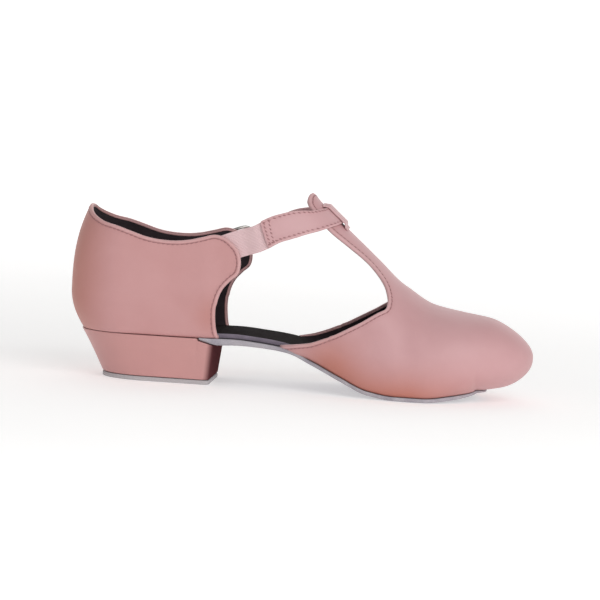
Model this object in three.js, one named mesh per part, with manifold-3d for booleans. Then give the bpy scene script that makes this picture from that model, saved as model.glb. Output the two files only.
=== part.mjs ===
// A left dance teacher shoe: a T-strap sandal with a closed toe, a low covered heel and a thin suede sole.
// Millimetres. +X to the toe, +Y to the wearer's left (the outer side), +Z up.
// The origin is the middle of the heel's top piece, on the floor.
import * as THREE from 'three';
import Module from 'manifold-3d';

const wasm = await Module();
wasm.setup();

// Driving sizes
const LENGTH = 252.0;             // rearmost point of the quarter to the toe tip
const HEEL_REACH = 53.5;          // the rearmost point lies this far behind the origin
const BALL_WIDTH = 84;            // across the joints
const RIDGE_HEIGHT = 105;         // floor to the top of the tongue
const TOE_TIP_HEIGHT = 24.4;      // level of the foremost point
const SEAT_HEIGHT = 25.5;         // floor to the underside of the quarter
const BACK_LEVEL = 47;            // level at which the back reaches furthest
const BACK_LEAN = 8.1;            // how far the top of the back leans forward
const BACK_TUCK = 7.7;            // how far the back draws in down to the seat
const BACK_HEIGHT = 92;           // floor to the top of the back
const WALL = 1.8;                 // leather with its lining
const CLEAR = 0.3;                // between pieces that touch

const SOLE_THICKNESS = 2.0;
const SOLE_REAR = 19.6;           // rear end of the outsole, tucked over the heel block
const INSOLE_THICKNESS = 2.5;

const BLOCK_BREAST = 28.0;        // breast of the heel block at its top
const BREAST_SLOPE = 1.8;         // the breast leans back by this much down to the floor
const BLOCK_BACK_SLOPE = 12.6;    // the back of the block leans forward by this much
const BLOCK_BEYOND = 0.9;         // the top of the block reaches this far behind the seat
const TOP_PIECE_WIDTH = 45;
const TOP_PIECE_THICKNESS = 2.3;

const T_BAR_WIDTH = 30;           // across the bar, flat
const STRAP_THICKNESS = 1.2;
const STRAP_WIDTH = 11.6;
const STRAP_END_WIDTH = 15;       // at its square end on the inner side
const ELASTIC_WIDTH = 14.5;
const ELASTIC_THICKNESS = 1.0;
const KEEPER_WIDTH = 13;
const KEEPER_THICKNESS = 1.0;

const BUCKLE_LENGTH = 20;         // over the frame
const BUCKLE_WIDTH = 17.4;
const BUCKLE_WIRE = 1.7;          // wire of the frame
const BUCKLE_ARCH = 2.4;          // its ends stand higher than its bar
const BAR_WIRE = 1.2;
const PRONG_WIRE = 1.2;
const TAB_WIDTH = 9;
const TAB_LENGTH = 17;
const TAB_THICKNESS = 1.0;
const HOLE_DIAMETER = 2.2;
const HOLE_START = 4.5;           // from the bar of the buckle to the hole that would sit on it
const HOLE_PITCH = 8.5;

// The last
//
// Each row is one section, taken at a share of LENGTH from the back. ridge is a share of RIDGE_HEIGHT.
// bottom is a share of the rise from the flat of the sole to the seat. widest is the level of the
// greatest width, as a share of the section's height. inner, outer are half widths in shares of
// BALL_WIDTH. innerSole, outerSole are the shares of these at the sole. squareness is the exponent.
const LAST = [
  // at  ridge bottom widest inner outer innerSole outerSole squareness
  [0.00, 1.250, 1.000, 0.206, 0.350, 0.350, 0.86, 0.86, 2.20],
  [0.10, 1.250, 1.000, 0.204, 0.350, 0.355, 0.87, 0.87, 2.20],
  [0.20, 1.250, 1.000, 0.200, 0.343, 0.360, 0.88, 0.88, 2.20],
  [0.30, 1.250, 1.000, 0.182, 0.338, 0.365, 0.86, 0.87, 2.15],
  [0.36, 1.231, 1.010, 0.178, 0.340, 0.375, 0.80, 0.84, 2.10],
  [0.42, 1.178, 0.965, 0.180, 0.352, 0.392, 0.74, 0.80, 2.05],
  [0.48, 1.070, 0.880, 0.190, 0.375, 0.420, 0.72, 0.79, 2.00],
  [0.54, 0.933, 0.620, 0.215, 0.408, 0.452, 0.74, 0.82, 2.00],
  [0.60, 0.806, 0.330, 0.243, 0.445, 0.478, 0.80, 0.86, 2.00],
  [0.66, 0.680, 0.075, 0.270, 0.478, 0.495, 0.85, 0.88, 2.00],
  [0.72, 0.556, 0.000, 0.308, 0.497, 0.497, 0.88, 0.89, 2.05],
  [0.78, 0.472, 0.000, 0.360, 0.500, 0.482, 0.88, 0.89, 2.15],
  [0.84, 0.443, 0.070, 0.390, 0.485, 0.455, 0.87, 0.87, 2.25],
  [0.90, 0.422, 0.148, 0.427, 0.455, 0.425, 0.84, 0.84, 2.30],
  [0.95, 0.396, 0.262, 0.430, 0.430, 0.400, 0.82, 0.82, 2.30],
  [1.00, 0.370, 0.450, 0.430, 0.410, 0.380, 0.80, 0.80, 2.30],
];
const COLUMN = {
  ridge: 1, bottom: 2, widest: 3, inner: 4, outer: 5, innerSole: 6, outerSole: 7, squareness: 8,
};
const HEEL_ROUND = 0.118;         // the heel rounds off over this share of the length
const TOE_ROUND = 0.24;           // and the toe over this one
const SOLE_TIP = 0.905;           // where the outsole ends under the toe
const MOUTH_TIP = 0.885;          // where the underside of the vamp closes
const LOWER_SQUARENESS = 2.2;

// Reads a column of a table at a position, by a monotone cubic through its rows.
function read(table, column, at) {
  const rows = table.length;
  const slope = (i) => (table[i + 1][column] - table[i][column]) / (table[i + 1][0] - table[i][0]);
  const tangent = (i) => {
    if (i === 0) return slope(0);
    if (i === rows - 1) return slope(rows - 2);
    const a = slope(i - 1);
    const b = slope(i);
    return a * b <= 0 ? 0 : 2 * a * b / (a + b);
  };
  let i = 0;
  while (i < rows - 2 && at > table[i + 1][0]) i += 1;
  const step = table[i + 1][0] - table[i][0];
  const t = Math.min(1, Math.max(0, (at - table[i][0]) / step));
  const a = table[i][column];
  const b = table[i + 1][column];
  return a * (1 + 2 * t) * (1 - t) ** 2 + tangent(i) * step * t * (1 - t) ** 2
    + b * t * t * (3 - 2 * t) + tangent(i + 1) * step * t * t * (t - 1);
}

const cap = (share, power) => (1 - Math.min(1, Math.max(0, share)) ** power) ** (1 / power);
const radians = Math.PI / 180;
const FLAT = SOLE_THICKNESS + CLEAR;

// One side of a section: side is -1 for the inner side and 1 for the outer one.
function section(at, side) {
  const value = (name) => read(LAST, COLUMN[name], at);
  const top = TOE_TIP_HEIGHT + (value('ridge') * RIDGE_HEIGHT - TOE_TIP_HEIGHT) * cap((at - 0.9) / 0.1, 1.9);
  const flat = FLAT + value('bottom') * (SEAT_HEIGHT - FLAT);
  const bottom = TOE_TIP_HEIGHT - (TOE_TIP_HEIGHT - flat) * cap((at - 0.93) / 0.07, 2.6);
  const half = value(side < 0 ? 'inner' : 'outer') * BALL_WIDTH
    * cap(1 - at / HEEL_ROUND, 2.1) * cap((at - 1 + TOE_ROUND) / TOE_ROUND, 2.2);
  const sole = value(side < 0 ? 'innerSole' : 'outerSole');
  const mouth = half * sole * cap((at - 0.74) / (MOUTH_TIP - 0.74), 2.3);
  return { top, bottom, level: bottom + value('widest') * (top - bottom), half, sole, mouth,
    power: value('squareness') };
}

// How far the back of the heel stands in front of its rearmost point at one level.
function backShift(z) {
  const up = Math.max(0, z - BACK_LEVEL) / (BACK_HEIGHT - BACK_LEVEL);
  const down = Math.max(0, BACK_LEVEL - z) / (BACK_LEVEL - SEAT_HEIGHT);
  return BACK_LEAN * up ** 2.6 + BACK_TUCK * down ** 2;
}
const along = (at, z) => at * LENGTH - HEEL_REACH + backShift(z) * Math.max(0, 1 - at / 0.36) ** 1.6;

const roundness = (angle, power) =>
  (Math.abs(Math.sin(angle)) ** power + Math.abs(Math.cos(angle)) ** power) ** (-1 / power);

// A point of the last. turn runs from 0 at the ridge, over 90 at the widest level, to 180 at the sole,
// negative on the inner side.
function onLast(at, turn) {
  const side = turn < 0 ? -1 : 1;
  const s = section(at, side);
  const angle = Math.abs(turn) * radians;
  let y;
  let z;
  if (Math.abs(turn) <= 90) {
    const r = roundness(angle, s.power);
    y = s.half * r * Math.sin(angle);
    z = s.level + (s.top - s.level) * r * Math.cos(angle);
  } else {
    const r = roundness(angle, LOWER_SQUARENESS);
    y = s.mouth + (s.half - s.mouth) * r * Math.sin(angle);
    z = s.level + (s.level - s.bottom) * r * Math.cos(angle);
  }
  return new THREE.Vector3(along(at, z), side * y, z);
}

// The outward direction of the last, from two short steps on its surface.
function outward(at, turn) {
  if (at > 0.9985) return new THREE.Vector3(1, 0, 0);
  const side = turn < 0 ? -1 : 1;
  const t = Math.min(179.6, Math.max(0.4, Math.abs(turn)));
  if (at < 0.0015) {
    const up = onLast(0, t - 0.4).sub(onLast(0, t + 0.4));
    return new THREE.Vector3(-up.z, 0, up.x).normalize();
  }
  const forth = onLast(at + 0.001, side * t).sub(onLast(at - 0.001, side * t));
  const round = onLast(at, side * (t + 0.4)).sub(onLast(at, side * (t - 0.4)));
  const normal = new THREE.Vector3().crossVectors(forth, round).multiplyScalar(side);
  if (Math.abs(turn) < 0.4) normal.y = 0;
  return normal.normalize();
}
const lifted = (at, turn, lift) => onLast(at, turn).addScaledVector(outward(at, turn), lift);

// Building solids
//
// Welds points that fall together and drops the triangles that close up.
function bodyOf(points, triangles) {
  const seen = new Map();
  const kept = [];
  const index = points.map((p) => {
    const key = [p.x, p.y, p.z].map((v) => Math.round(v * 500)).join();
    if (!seen.has(key)) {
      seen.set(key, kept.length / 3);
      kept.push(p.x, p.y, p.z);
    }
    return seen.get(key);
  });
  const faces = [];
  for (const t of triangles) {
    const [a, b, c] = t.map((i) => index[i]);
    if (a !== b && b !== c && c !== a) faces.push(a, b, c);
  }
  const geometry = new THREE.BufferGeometry();
  geometry.setAttribute('position', new THREE.Float32BufferAttribute(kept, 3));
  geometry.setIndex(faces);
  return outwardFaces(geometry);
}

// Turns every face over if the body came out inside out.
function outwardFaces(geometry) {
  const p = geometry.getAttribute('position');
  const faces = geometry.getIndex().array;
  const [a, b, c] = [new THREE.Vector3(), new THREE.Vector3(), new THREE.Vector3()];
  let volume = 0;
  for (let i = 0; i < faces.length; i += 3) {
    a.fromBufferAttribute(p, faces[i]);
    b.fromBufferAttribute(p, faces[i + 1]);
    c.fromBufferAttribute(p, faces[i + 2]);
    volume += a.dot(b.cross(c));
  }
  if (volume < 0) {
    for (let i = 0; i < faces.length; i += 3) [faces[i], faces[i + 1]] = [faces[i + 1], faces[i]];
  }
  return geometry;
}

// A box of nu x nv x nw cells, each corner placed by a function: any plate, block or ribbon.
function mappedBox(nu, nv, nw, place) {
  const points = [];
  const triangles = [];
  const face = (m, n, at) => {
    const start = points.length;
    for (let i = 0; i <= m; i += 1) {
      for (let j = 0; j <= n; j += 1) points.push(at(i, j));
    }
    for (let i = 0; i < m; i += 1) {
      for (let j = 0; j < n; j += 1) {
        const a = start + i * (n + 1) + j;
        triangles.push([a, a + n + 1, a + n + 2], [a, a + n + 2, a + 1]);
      }
    }
  };
  const flip = (m, n, at) => face(m, n, (i, j) => at(m - i, j));
  face(nu, nv, (i, j) => place(i / nu, j / nv, 1));
  flip(nu, nv, (i, j) => place(i / nu, j / nv, 0));
  face(nv, nw, (i, j) => place(1, i / nv, j / nw));
  flip(nv, nw, (i, j) => place(0, i / nv, j / nw));
  face(nw, nu, (i, j) => place(j / nu, 1, i / nw));
  flip(nw, nu, (i, j) => place(j / nu, 0, i / nw));
  return bodyOf(points, triangles);
}

// A closed ring of n steps with m points round its wire.
function ringBody(n, m, place) {
  const points = [];
  const triangles = [];
  for (let i = 0; i < n; i += 1) {
    for (let j = 0; j < m; j += 1) points.push(place(i / n, j / m));
  }
  for (let i = 0; i < n; i += 1) {
    for (let j = 0; j < m; j += 1) {
      const [a, b] = [i * m + j, i * m + (j + 1) % m];
      const [c, d] = [((i + 1) % n) * m + j, ((i + 1) % n) * m + (j + 1) % m];
      triangles.push([a, c, d], [a, d, b]);
    }
  }
  return bodyOf(points, triangles);
}

// Distance of a point to an open outline, positive on the side where the closed outline lies.
function signedDistance(u, v, outline, closed) {
  let nearest = Infinity;
  for (let i = 0; i + 1 < outline.length; i += 1) {
    const [au, av] = outline[i];
    const [du, dv] = [outline[i + 1][0] - au, outline[i + 1][1] - av];
    const t = Math.min(1, Math.max(0, ((u - au) * du + (v - av) * dv) / (du * du + dv * dv)));
    nearest = Math.min(nearest, Math.hypot(u - au - t * du, v - av - t * dv));
  }
  let inside = false;
  for (let i = 0, j = closed.length - 1; i < closed.length; j = i, i += 1) {
    const [[au, av], [bu, bv]] = [closed[i], closed[j]];
    if ((av > v) !== (bv > v) && u < (bu - au) * (v - av) / (bv - av) + au) inside = !inside;
  }
  return inside ? nearest : -nearest;
}

// A leather panel: a grid on the last, trimmed where keep(u, v) is negative, with a wall inwards.
// Grid points close to the cut move onto it, so no thin triangles are left.
function panel(us, vs, keep, place) {
  const points = [];
  const add = (u, v) => points.push({ u, v }) - 1;
  const near = 0.33;
  const grid = us.map((u, i) => vs.map((v, j) => {
    const du = Math.min(i > 0 ? u - us[i - 1] : Infinity, i < us.length - 1 ? us[i + 1] - u : Infinity);
    const dv = Math.min(j > 0 ? v - vs[j - 1] : Infinity, j < vs.length - 1 ? vs[j + 1] - v : Infinity);
    let [x, y, f] = [u, v, keep(u, v)];
    const gu = (keep(u + du * 0.02, v) - keep(u - du * 0.02, v)) / 0.04;
    const gv = (keep(u, v + dv * 0.02) - keep(u, v - dv * 0.02)) / 0.04;
    const g = i > 0 && i < us.length - 1 ? [gu, gv] : [0, gv];
    if (j === 0 || j === vs.length - 1) g[1] = 0;
    const size = g[0] ** 2 + g[1] ** 2;
    if (size > 1e-12 && Math.abs(f) / Math.sqrt(size) < near) {
      x -= f * g[0] / size * du;
      y -= f * g[1] / size * dv;
      f = 0;
    }
    const k = add(x, y);
    points[k].f = f;
    return k;
  }));
  const cuts = new Map();
  const cut = (a, b) => {
    const key = a < b ? `${a},${b}` : `${b},${a}`;
    if (!cuts.has(key)) {
      let [t0, t1] = [0, 1];
      const [p, q] = points[a].f > 0 ? [points[a], points[b]] : [points[b], points[a]];
      for (let n = 0; n < 24; n += 1) {
        const t = (t0 + t1) / 2;
        if (keep(p.u + (q.u - p.u) * t, p.v + (q.v - p.v) * t) > 0) t0 = t;
        else t1 = t;
      }
      const k = add(p.u + (q.u - p.u) * t0, p.v + (q.v - p.v) * t0);
      points[k].f = 0;
      cuts.set(key, k);
    }
    return cuts.get(key);
  };
  const faces = [];
  const trim = (a, b, c) => {
    const loop = [];
    const corner = [a, b, c];
    for (let i = 0; i < 3; i += 1) {
      const [p, q] = [corner[i], corner[(i + 1) % 3]];
      if (points[p].f >= 0) loop.push(p);
      if (points[p].f * points[q].f < 0) loop.push(cut(p, q));
    }
    if (!corner.some((p) => points[p].f > 0)) return;
    for (let i = 1; i + 1 < loop.length; i += 1) faces.push([loop[0], loop[i], loop[i + 1]]);
  };
  for (let i = 0; i + 1 < us.length; i += 1) {
    for (let j = 0; j + 1 < vs.length; j += 1) {
      const [a, b, c, d] = [grid[i][j], grid[i + 1][j], grid[i + 1][j + 1], grid[i][j + 1]];
      const slant = vs[j] + vs[j + 1] < 0;
      const halves = slant ? [[a, b, d], [b, c, d]] : [[a, b, c], [a, c, d]];
      for (const half of halves) trim(...half);
    }
  }
  const outer = points.map((p) => place(p.u, p.v, 0));
  const inner = points.map((p) => place(p.u, p.v, -WALL));
  const weld = new Map();
  const same = outer.map((p, k) => {
    const key = [p.x, p.y, p.z].map((v) => Math.round(v * 500)).join();
    if (!weld.has(key)) weld.set(key, k);
    return weld.get(key);
  });
  const n = points.length;
  const whole = faces.map((t) => t.map((k) => same[k])).filter(([a, b, c]) => a !== b && b !== c && c !== a);
  const used = new Map();
  for (const [a, b, c] of whole) {
    for (const [p, q] of [[a, b], [b, c], [c, a]]) used.set(`${p},${q}`, true);
  }
  const triangles = [];
  for (const [a, b, c] of whole) {
    triangles.push([a, b, c], [n + a, n + c, n + b]);
    for (const [p, q] of [[a, b], [b, c], [c, a]]) {
      if (!used.has(`${q},${p}`)) triangles.push([p, n + p, n + q], [p, n + q, q]);
    }
  }
  return bodyOf([...outer, ...inner], triangles);
}

// Cutting by solids
function toSolid(geometry) {
  const p = geometry.getAttribute('position');
  return new wasm.Manifold(new wasm.Mesh({
    numProp: 3,
    vertProperties: Float32Array.from(p.array),
    triVerts: Uint32Array.from(geometry.getIndex().array),
  }));
}
function fromSolid(solid) {
  const mesh = solid.getMesh();
  const geometry = new THREE.BufferGeometry();
  geometry.setAttribute('position', new THREE.Float32BufferAttribute(mesh.vertProperties, 3));
  geometry.setIndex(Array.from(mesh.triVerts));
  return geometry;
}
// A round rod between two points, as a mapped ring of sides closed by its ends.
function rod(from, to, diameter, sides = 10) {
  const axis = new THREE.Vector3().subVectors(to, from);
  const across = new THREE.Vector3(0, 0, 1).cross(axis).normalize();
  if (across.lengthSq() < 0.5) across.set(1, 0, 0);
  const other = new THREE.Vector3().crossVectors(axis, across).normalize();
  const points = [from.clone(), to.clone()];
  const triangles = [];
  for (let i = 0; i < sides; i += 1) {
    const angle = 2 * Math.PI * i / sides;
    const arm = across.clone().multiplyScalar(Math.cos(angle)).addScaledVector(other, Math.sin(angle));
    arm.multiplyScalar(diameter / 2);
    points.push(from.clone().add(arm), to.clone().add(arm));
    const [a, b] = [2 + 2 * i, 2 + 2 * ((i + 1) % sides)];
    triangles.push([a, b, b + 1], [a, b + 1, a + 1], [0, b, a], [1, a + 1, b + 1]);
  }
  return bodyOf(points, triangles);
}

const steps = (from, to, n) => Array.from({ length: n + 1 }, (_, i) => from + (to - from) * i / n);

// Vamp: toe, T-bar with its tongue, and the two wings
//
// The bar's edge: half widths in shares of half T_BAR_WIDTH, from the round end of the tongue forward.
const BAR_EDGE = [
  // at   width
  [0.5090, 0.00],
  [0.5100, 0.30],
  [0.5135, 0.58],
  [0.5200, 0.80],
  [0.5300, 0.95],
  [0.5450, 1.03],
  [0.5620, 1.05],
  [0.5820, 1.04],
  [0.6050, 1.01],
  [0.6280, 0.97],
  [0.6480, 0.99],
  [0.6680, 1.12],
];
// The rest of the side opening, round its front and back along the wing to the sole.
const WING_EDGE = [
  // at  turn
  [0.682, 29.0],
  [0.690, 36.0],
  [0.693, 43.0],
  [0.690, 50.5],
  [0.674, 58.0],
  [0.640, 70.8],
  [0.609, 80.5],
  [0.586, 86.5],
  [0.5725, 89.5],
  [0.568, 91.5],
  [0.549, 104.6],
  [0.518, 126.4],
  [0.486, 154.0],
  [0.478, 180.0],
];
const ARC = 40 * radians;         // one degree of turn is about this long, in millimetres
const chartCurve = (rows) => new THREE.CatmullRomCurve3(
  rows.map(([at, turn]) => new THREE.Vector3(at * LENGTH, turn * ARC, 0)), false, 'centripetal');
function vampOutline(side) {
  const bar = BAR_EDGE.map(([at, width]) => {
    const s = section(at, side);
    return [at, Math.asin(Math.min(1, width * T_BAR_WIDTH / 2 / s.half)) / radians];
  });
  return chartCurve([...bar, ...WING_EDGE]).getPoints(96).map((p) => [p.x, p.y]);
}
const vampCuts = [-1, 1].map((side) => {
  const outline = vampOutline(side);
  const last = outline[outline.length - 1];
  const closed = [...outline, [last[0], 200 * ARC], [LENGTH * 1.2, 200 * ARC], [LENGTH * 1.2, -20 * ARC],
    [outline[0][0], -20 * ARC]];
  return { outline, closed };
});
const keepVamp = (at, turn) => {
  const { outline, closed } = vampCuts[turn < 0 ? 0 : 1];
  return signedDistance(at * LENGTH, Math.abs(turn) * ARC, outline, closed);
};
const vampStations = [
  ...steps(0.470, 0.700, 13),
  ...steps(0.722, 0.872, 6),
  ...[MOUTH_TIP, 0.905, 0.926, 0.946, 0.963, 0.977, 0.988, 0.996, 1],
];
const vampTurns = [
  ...steps(-180, -90, 8),
  ...steps(-80, 80, 16),
  ...steps(90, 180, 8),
];
const vamp = panel(vampStations, vampTurns, keepVamp, lifted);

// Quarter: the closed heel part
//
// From the middle of the back along the collar, round the front corner and down to the sole.
const QUARTER_EDGE = [
  // at    turn
  [-0.020, 58.5],
  [0.000, 58.7],
  [0.012, 60.4],
  [0.028, 62.0],
  [0.058, 64.0],
  [0.094, 65.3],
  [0.130, 67.0],
  [0.164, 68.6],
  [0.196, 69.3],
  [0.228, 69.2],
  [0.259, 68.2],
  [0.288, 66.6],
  [0.315, 65.2],
  [0.338, 65.8],
  [0.354, 67.6],
  [0.365, 69.6],
  [0.371, 72.2],
  [0.3725, 75.0],
  [0.369, 78.0],
  [0.353, 81.0],
  [0.336, 84.8],
  [0.327, 89.5],
  [0.324, 103.0],
  [0.326, 129.0],
  [0.331, 157.0],
  [0.333, 180.0],
];
const quarterOutline = chartCurve(QUARTER_EDGE).getPoints(120).map((p) => [p.x, p.y]);
const quarterClosed = [...quarterOutline, [0.333 * LENGTH, 200 * ARC], [-40, 200 * ARC],
  [-40, quarterOutline[0][1]]];
const keepQuarter = (at, turn) =>
  signedDistance(Math.abs(at) * LENGTH, turn * ARC, quarterOutline, quarterClosed);
// Positions behind the origin of the grid are on the inner side, the others on the outer side.
const roundHeel = (at, turn, lift) => lifted(Math.abs(at), at < 0 ? -turn : turn, lift);
const halfStations = [0.003, 0.009, 0.018, 0.031, 0.048, 0.068, 0.092, 0.118, 0.148, 0.180, 0.214, 0.248,
  0.280, 0.308, 0.332, 0.354, 0.372, 0.390];
const quarterStations = [...halfStations.map((v) => -v).reverse(), 0, ...halfStations];
const quarterTurns = [...steps(55, 91, 9), ...steps(98, 180, 8)];
const quarter = panel(quarterStations, quarterTurns, keepQuarter, roundHeel);

// Outsole, insole and heel
//
// Thickness of the outsole in shares of SOLE_THICKNESS: a wedge where it meets the heel block.
const SOLE_WEDGE = [
  // at  thickness
  [0.290, 0.45],
  [0.335, 1.65],
  [0.380, 1.40],
  [0.430, 1.15],
  [0.500, 1.00],
  [0.840, 1.00],
  [0.905, 0.50],
  [1.000, 0.40],
];
const soleRear = (SOLE_REAR + HEEL_REACH) / LENGTH;
const bottomAt = (at) => section(at, 1).bottom;
// Half width of the outsole: a little beyond the mouth of the upper, round at its tip.
function soleHalf(at, side, beyond) {
  const s = section(at, side);
  return s.half * (s.sole + beyond * (1 - s.sole)) * cap((at - 0.74) / (SOLE_TIP - 0.74), 2.3);
}
const crowd = (t) => 1 - (1 - t) ** 1.7;
const outsole = mappedBox(30, 4, 1, (t, across, up) => {
  const at = soleRear + (SOLE_TIP - soleRear) * crowd(t);
  const edge = (1 - across) * -soleHalf(at, -1, 0.45) + across * soleHalf(at, 1, 0.45);
  const top = bottomAt(at) - CLEAR;
  const z = top - (1 - up) * read(SOLE_WEDGE, 1, at) * SOLE_THICKNESS;
  return new THREE.Vector3(along(at, top), edge, z);
});

// The insole fills the mouth of the upper, a clearance inside its edge.
const INSOLE_TIP = MOUTH_TIP - 0.015;
const insole = mappedBox(32, 4, 1, (t, across, up) => {
  const eased = 0.5 - 0.5 * Math.cos(Math.PI * t);
  const at = 0.0015 + (INSOLE_TIP - 0.0015) * (0.35 * t + 0.65 * eased);
  const ahead = at + 0.014 * Math.min(1, Math.max(0, (at - 0.7) / 0.1));
  const edge = (side) => Math.max(0, section(ahead, side).mouth - 2 * CLEAR - 0.6 * WALL);
  const y = (1 - across) * -edge(-1) + across * edge(1);
  const z = bottomAt(at) + CLEAR / 2 + up * INSOLE_THICKNESS;
  const rear = (WALL + 2 * CLEAR) * Math.max(0, 1 - at / 0.05);
  return new THREE.Vector3(along(at, bottomAt(at)) + rear, y, z);
});

// The block's outline runs from the middle of the back to the breast, at a share of its height.
function blockEdge(t, side, up) {
  const back = along(0, SEAT_HEIGHT) - BLOCK_BEYOND + BLOCK_BACK_SLOPE * (1 - up) ** 0.9;
  const breast = BLOCK_BREAST - BREAST_SLOPE * (1 - up);
  const topHalf = section(0.2, side).half * (0.5 + 0.5 * section(0.2, side).sole);
  const half = TOP_PIECE_WIDTH / 2 + (topHalf - TOP_PIECE_WIDTH / 2) * up ** 1.15;
  const s = 0.5 - 0.5 * Math.cos(Math.PI * t);
  const x = back + (breast - back) * s;
  const corner = cap((s - 0.93) / 0.07, 2.0) * 0.055 + 0.945;
  return [x, side * half * cap(1 - s / 0.44, 2.15) * corner * (1 - 0.035 * Math.max(0, s - 0.44))];
}
const blockTop = (x) => {
  const at = (x + HEEL_REACH) / LENGTH;
  const tucked = x > SOLE_REAR - CLEAR ? read(SOLE_WEDGE, 1, at) * SOLE_THICKNESS + CLEAR : 0;
  return bottomAt(at) - CLEAR - tucked;
};
const blockStep = (t) => {
  const rear = along(0, SEAT_HEIGHT) - BLOCK_BEYOND;
  const share = (SOLE_REAR - CLEAR - rear) / (BLOCK_BREAST - rear);
  return Math.acos(1 - 2 * Math.min(1, share + t)) / Math.PI;
};
const blockStations = [...steps(0, blockStep(-0.001), 13), ...steps(blockStep(0.001), 1, 5)];
const blockBottom = TOP_PIECE_THICKNESS + CLEAR;
const heelBlock = mappedBox(blockStations.length - 1, 4, 6, (t, across, up) => {
  const station = blockStations[Math.round(t * (blockStations.length - 1))];
  const [[x, inner], [, outer]] = [blockEdge(station, -1, up), blockEdge(station, 1, up)];
  const top = blockTop(blockEdge(station, 1, 1)[0]);
  return new THREE.Vector3(x, inner + (outer - inner) * across, blockBottom + (top - blockBottom) * up);
});
const topPiece = mappedBox(18, 4, 1, (t, across, up) => {
  const [[x, inner], [, outer]] = [blockEdge(t, -1, 0), blockEdge(t, 1, 0)];
  return new THREE.Vector3(x, inner + (outer - inner) * across, up * TOP_PIECE_THICKNESS);
});

// Ribbons that lie on the last
//
// A path row gives a point of the last, the lift of the ribbon's inner face and its width.
function ribbonFrame(rows, t) {
  const curve = chartCurve(rows);
  const chart = (u) => {
    const p = curve.getPointAt(u);
    return [p.x / LENGTH, p.y / ARC];
  };
  const [at, turn] = chart(t);
  const [a0, t0] = chart(Math.max(0, t - 0.004));
  const [a1, t1] = chart(Math.min(1, t + 0.004));
  const forward = onLast(a1, t1).sub(onLast(a0, t0)).normalize();
  const normal = outward(at, turn);
  const across = new THREE.Vector3().crossVectors(normal, forward).normalize();
  let run = 0;
  const placed = rows.map(([rowAt, rowTurn, lift, width], i) => {
    const [lastAt, lastTurn] = rows[Math.max(0, i - 1)];
    run += Math.hypot((rowAt - lastAt) * LENGTH, (rowTurn - lastTurn) * ARC);
    return [run, lift, width];
  });
  const place = t * curve.getLength();
  return { at, turn, forward, normal, across, lift: read(placed, 1, place), width: read(placed, 2, place) };
}
// Steps over the surface of the last by a distance, in the ribbon's own cross direction.
function sidestep(frame, distance) {
  const { at, turn, across } = frame;
  const forth = onLast(at + 0.002, turn).sub(onLast(at - 0.002, turn)).multiplyScalar(250);
  const round = onLast(at, turn + 0.6).sub(onLast(at, turn - 0.6)).divideScalar(1.2);
  const [ff, fr, rr] = [forth.dot(forth), forth.dot(round), round.dot(round)];
  const [fc, rc] = [forth.dot(across) * distance, round.dot(across) * distance];
  const det = ff * rr - fr * fr;
  return { at: at + (fc * rr - rc * fr) / det, turn: turn + (rc * ff - fc * fr) / det };
}
function ribbonPoint(rows, t, across, up, thickness) {
  const frame = ribbonFrame(rows, t);
  const moved = sidestep(frame, (across - 0.5) * frame.width);
  return onLast(moved.at, moved.turn).addScaledVector(frame.normal, frame.lift + up * thickness);
}
const ribbon = (rows, thickness, nu, nv) =>
  mappedBox(nu, nv, 1, (t, across, up) => ribbonPoint(rows, t, across, up, thickness));

// Strap
//
// From its square end on the inner side, over the bar, through the buckle and along the quarter.
const OVER_LIFT = CLEAR;
const BAR_LEVEL = CLEAR + TAB_THICKNESS + CLEAR + BAR_WIRE / 2;
const CURL = BAR_WIRE / 2 + CLEAR + TAB_THICKNESS;
const HUMP = BAR_LEVEL + CURL + CLEAR + 0.2;
const OVER_TAB = CLEAR + TAB_THICKNESS + CLEAR + 0.2;
const STRAP_PATH = [
  // at   turn   lift       width
  [0.4140, -61.5, OVER_LIFT, STRAP_END_WIDTH],
  [0.4440, -55.2, OVER_LIFT, STRAP_END_WIDTH],
  [0.4700, -49.4, OVER_LIFT, STRAP_END_WIDTH],
  [0.4985, -41.5, OVER_LIFT, STRAP_END_WIDTH * 0.93],
  [0.5260, -31.5, OVER_LIFT, STRAP_WIDTH * 1.06],
  [0.5500, -16.5, OVER_LIFT, STRAP_WIDTH],
  [0.5585, 0.0, OVER_LIFT, STRAP_WIDTH],
  [0.5500, 16.5, OVER_LIFT, STRAP_WIDTH],
  [0.5260, 31.5, OVER_LIFT, STRAP_WIDTH],
  [0.4985, 41.5, OVER_LIFT, STRAP_WIDTH],
  [0.4700, 49.4, OVER_LIFT, STRAP_WIDTH],
  [0.4360, 58.0, OVER_LIFT, STRAP_WIDTH],
  [0.4050, 63.3, OVER_LIFT, STRAP_WIDTH],
  [0.3830, 66.4, OVER_LIFT, STRAP_WIDTH],
  [0.3640, 68.5, OVER_LIFT, STRAP_WIDTH],
  [0.3410, 70.8, HUMP, STRAP_WIDTH],
  [0.3170, 72.6, OVER_TAB, STRAP_WIDTH],
  [0.2950, 73.8, OVER_TAB, STRAP_WIDTH],
  [0.2660, 75.0, OVER_TAB, STRAP_WIDTH],
  [0.2280, 75.8, OVER_LIFT, STRAP_WIDTH],
  [0.1950, 76.0, OVER_LIFT, STRAP_WIDTH * 0.96],
];
const strapBlank = ribbon(STRAP_PATH, STRAP_THICKNESS, 60, 2);

// Buckle, set by the strap's place over the bar
const BUCKLE_AT = 0.341;
const BUCKLE_TURN = 70.8;
const seat = onLast(BUCKLE_AT, BUCKLE_TURN);
const seatUp = outward(BUCKLE_AT, BUCKLE_TURN);
const seatForth = onLast(0.383, 66.4).sub(onLast(0.295, 73.8));
seatForth.addScaledVector(seatUp, -seatForth.dot(seatUp)).normalize();
const seatAcross = new THREE.Vector3().crossVectors(seatUp, seatForth);
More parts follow.
